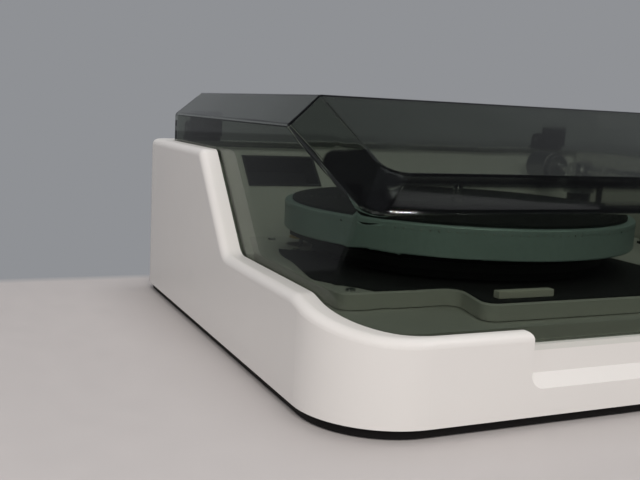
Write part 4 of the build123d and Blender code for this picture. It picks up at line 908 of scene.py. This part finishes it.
@dataclass
class Studio:
    """Pale table, grey surroundings, soft lamps and the camera."""

    table_colour: Colour = (0.51, 0.475, 0.46)
    table_mottle: float = 0.03
    table_grain: float = 55.0
    table_roughness: tuple[float, float] = (0.55, 0.7)
    wall_colour: Colour = (0.275, 0.283, 0.300)
    wall_turn: tuple[float, float] = (-0.1, 0.3)
    wall_left: tuple[float, float] = (-0.9, -0.5)
    wall_height: tuple[float, float] = (0.7, 0.2)
    room_colour: Colour = (0.06, 0.062, 0.067)
    fill_colour: Colour = (0.62, 0.63, 0.66)
    fill_strength: float = 0.62
    table_reach: float = 4.0
    table_rear: float = 0.215
    table_mirrored: tuple[float, float] = (0.28, 0.33)
    table_fade: float = 0.02
    wall_mirrored: float = 0.65
    camera_at: Vector = field(default_factory=lambda: Vector((-0.38076, -0.52807, 0.15484)))
    camera_yaw: float = 0.426752
    camera_pitch: float = 0.150126
    camera_roll: float = -0.0500112
    camera_near: float = 0.01
    focal_pixels: float = 870.868
    picture_pixels: float = 640.0
    sensor_mm: float = 36.0
    lamps: ClassVar[tuple[Lamp, ...]] = (
        Lamp("key_lamp", (-0.7, -1.5, 1.25), 1.2, 26.0, Glow.WARM),
        Lamp("top_lamp", (0.2, 0.1, 1.9), 1.0, 10.0, Glow.COOL),
        Lamp("side_sheen", (-1.1, -0.3, 1.0), 0.12, 0.05, Glow.PALE, mirrored=True),
        Lamp("fold_sheen", (0.635, -0.162, 1.39), 0.038, 0.022, Glow.COOL, mirrored=True, length=0.7),
        Lamp("edge_glint", (0.470, -0.92, 0.98), 0.008, 1.8, Glow.PALE, mirrored=True, length=0.16),
    )
    lamp_target: ClassVar[Vector] = Vector((0.0, -0.1, 0.08))

    def build_table(self) -> bpy.types.Object:
        """Makes the table top.

        The wall shows beyond its rear. Gloss meets the dim room away from the player, and the wall dimmed.

        Returns:
            The table, as part of the stage.
        """
        form = bmesh.new()
        bmesh.ops.create_grid(form, x_segments=1, y_segments=1, size=self.table_reach)
        table = piece_from(form, "table_top")
        graph = Graph.of_material("table_finish")
        here = graph.place()
        grain = graph.noise(here, self.table_grain, detail=6.0)
        darker = shade(self.table_colour, 1 - self.table_mottle)
        paler = shade(self.table_colour, 1 + self.table_mottle)
        top = graph.node(
            "ShaderNodeBsdfPrincipled",
            Base_Color=graph.blend(grain, darker, paler),
            Roughness=graph.span(grain, *self.table_roughness),
        )
        room = graph.node("ShaderNodeEmission", Color=(*self.room_colour, 1.0))
        reach = graph.node("ShaderNodeVectorMath", {"operation": "LENGTH"}, _0=here).outputs[1]
        outside = graph.span(reach, 0.0, 1.0, *self.table_mirrored)
        gloss = graph.node("ShaderNodeLightPath").outputs["Is Glossy Ray"]
        near = graph.mix(graph.math("MULTIPLY", outside, gloss), top, room)
        shine = graph.span(gloss, 1.0, self.wall_mirrored, 0.0, 1.0)
        wall = graph.node("ShaderNodeEmission", Color=(*self.wall_colour, 1.0), Strength=shine)
        depth = graph.node("ShaderNodeSeparateXYZ", Vector=here).outputs["Y"]
        beyond = graph.span(depth, 0.0, 1.0, self.table_rear, self.table_rear + self.table_fade)
        dress(table, graph.close(graph.mix(beyond, near, wall)))
        log.info("%s laid", table.name)
        return table

    def build_world(self) -> None:
        """Lights the scene evenly; gloss and glass meet the wall behind and a dim room elsewhere."""
        graph = Graph(bpy.data.worlds.new("grey_room"))
        path = graph.node("ShaderNodeLightPath").outputs
        heading = graph.node("ShaderNodeTexCoord").outputs["Generated"]
        parts = graph.node("ShaderNodeSeparateXYZ", Vector=heading).outputs
        wall_share = graph.span(parts["Y"], 0.0, 1.0, *self.wall_turn)
        for part, ends in (("X", self.wall_left), ("Z", self.wall_height)):
            wall_share = graph.math("MULTIPLY", wall_share, graph.span(parts[part], 0.0, 1.0, *ends))
        wall_share = graph.math("MAXIMUM", wall_share, path["Is Camera Ray"])
        seen = path["Is Camera Ray"]
        for ray in ("Is Glossy Ray", "Is Transmission Ray"):
            seen = graph.math("MAXIMUM", seen, path[ray])
        fill, room, wall = (
            graph.node("ShaderNodeBackground", Color=(*colour, 1.0), Strength=strength)
            for colour, strength in (
                (self.fill_colour, self.fill_strength),
                (self.room_colour, 1.0),
                (self.wall_colour, 1.0),
            )
        )
        bpy.context.scene.world = graph.close(graph.mix(seen, fill, graph.mix(wall_share, room, wall)))

    def build_lamps(self) -> None:
        """Hangs the lamps, each turned to the front of the platter."""
        for lamp in self.lamps:
            data = bpy.data.lights.new(lamp.name, "AREA")
            data.shape = "RECTANGLE" if lamp.length else "DISK"
            data.size = lamp.size
            data.size_y = lamp.length or lamp.size
            data.energy = lamp.power
            data.color = lamp.glow.value
            hung = bpy.data.objects.new(lamp.name, data)
            hung.location = lamp.place
            aim = self.lamp_target - Vector(lamp.place)
            hung.rotation_euler = aim.to_track_quat("-Z", "Y").to_euler()
            hung.visible_glossy = lamp.mirrored
            hung.visible_diffuse = not lamp.mirrored
            bpy.context.scene.collection.objects.link(hung)
            log.info("%s hung", lamp.name)

    def build_camera(self) -> bpy.types.Object:
        """Stands the camera where the photograph was taken from.

        Returns:
            The camera.
        """
        yaw, pitch, roll = self.camera_yaw, self.camera_pitch, self.camera_roll
        level = math.cos(pitch)
        forward = Vector((math.sin(yaw) * level, math.cos(yaw) * level, -math.sin(pitch)))
        level_right = Vector((math.cos(yaw), -math.sin(yaw), 0.0))
        level_down = forward.cross(level_right)
        right = level_right * math.cos(roll) + level_down * math.sin(roll)
        down = level_down * math.cos(roll) - level_right * math.sin(roll)
        data = bpy.data.cameras.new("camera")
        data.sensor_fit = "HORIZONTAL"
        data.sensor_width = self.sensor_mm
        data.lens = self.focal_pixels * self.sensor_mm / self.picture_pixels
        data.clip_start = self.camera_near
        camera = bpy.data.objects.new("camera", data)
        turn = Matrix((right, -down, -forward)).transposed().to_4x4()
        camera.matrix_world = Matrix.Translation(self.camera_at) @ turn
        bpy.context.scene.collection.objects.link(camera)
        bpy.context.scene.camera = camera
        log.info("%s stood", camera.name)
        return camera


def main() -> None:
    """Builds and dresses the whole scene in order."""
    logging.basicConfig(level=logging.INFO, format="%(message)s")
    casework = Casework()
    casework.dress_nodes()
    casework.finish_hood()
    turntable = Turntable()
    turntable.dress_nodes()
    arm = PickUpArm()
    arm.dress_nodes()
    Electrics().dress_nodes()
    for piece in (turntable.build_mat(), turntable.build_dots(), arm.build_ticks()):
        log.info("%s built with %d faces", piece.name, len(piece.data.polygons))
    studio = Studio()
    studio.build_table()
    studio.build_world()
    studio.build_lamps()
    studio.build_camera()
    bpy.context.scene.view_settings.view_transform = "Standard"


if __name__ == "__main__":
    main()
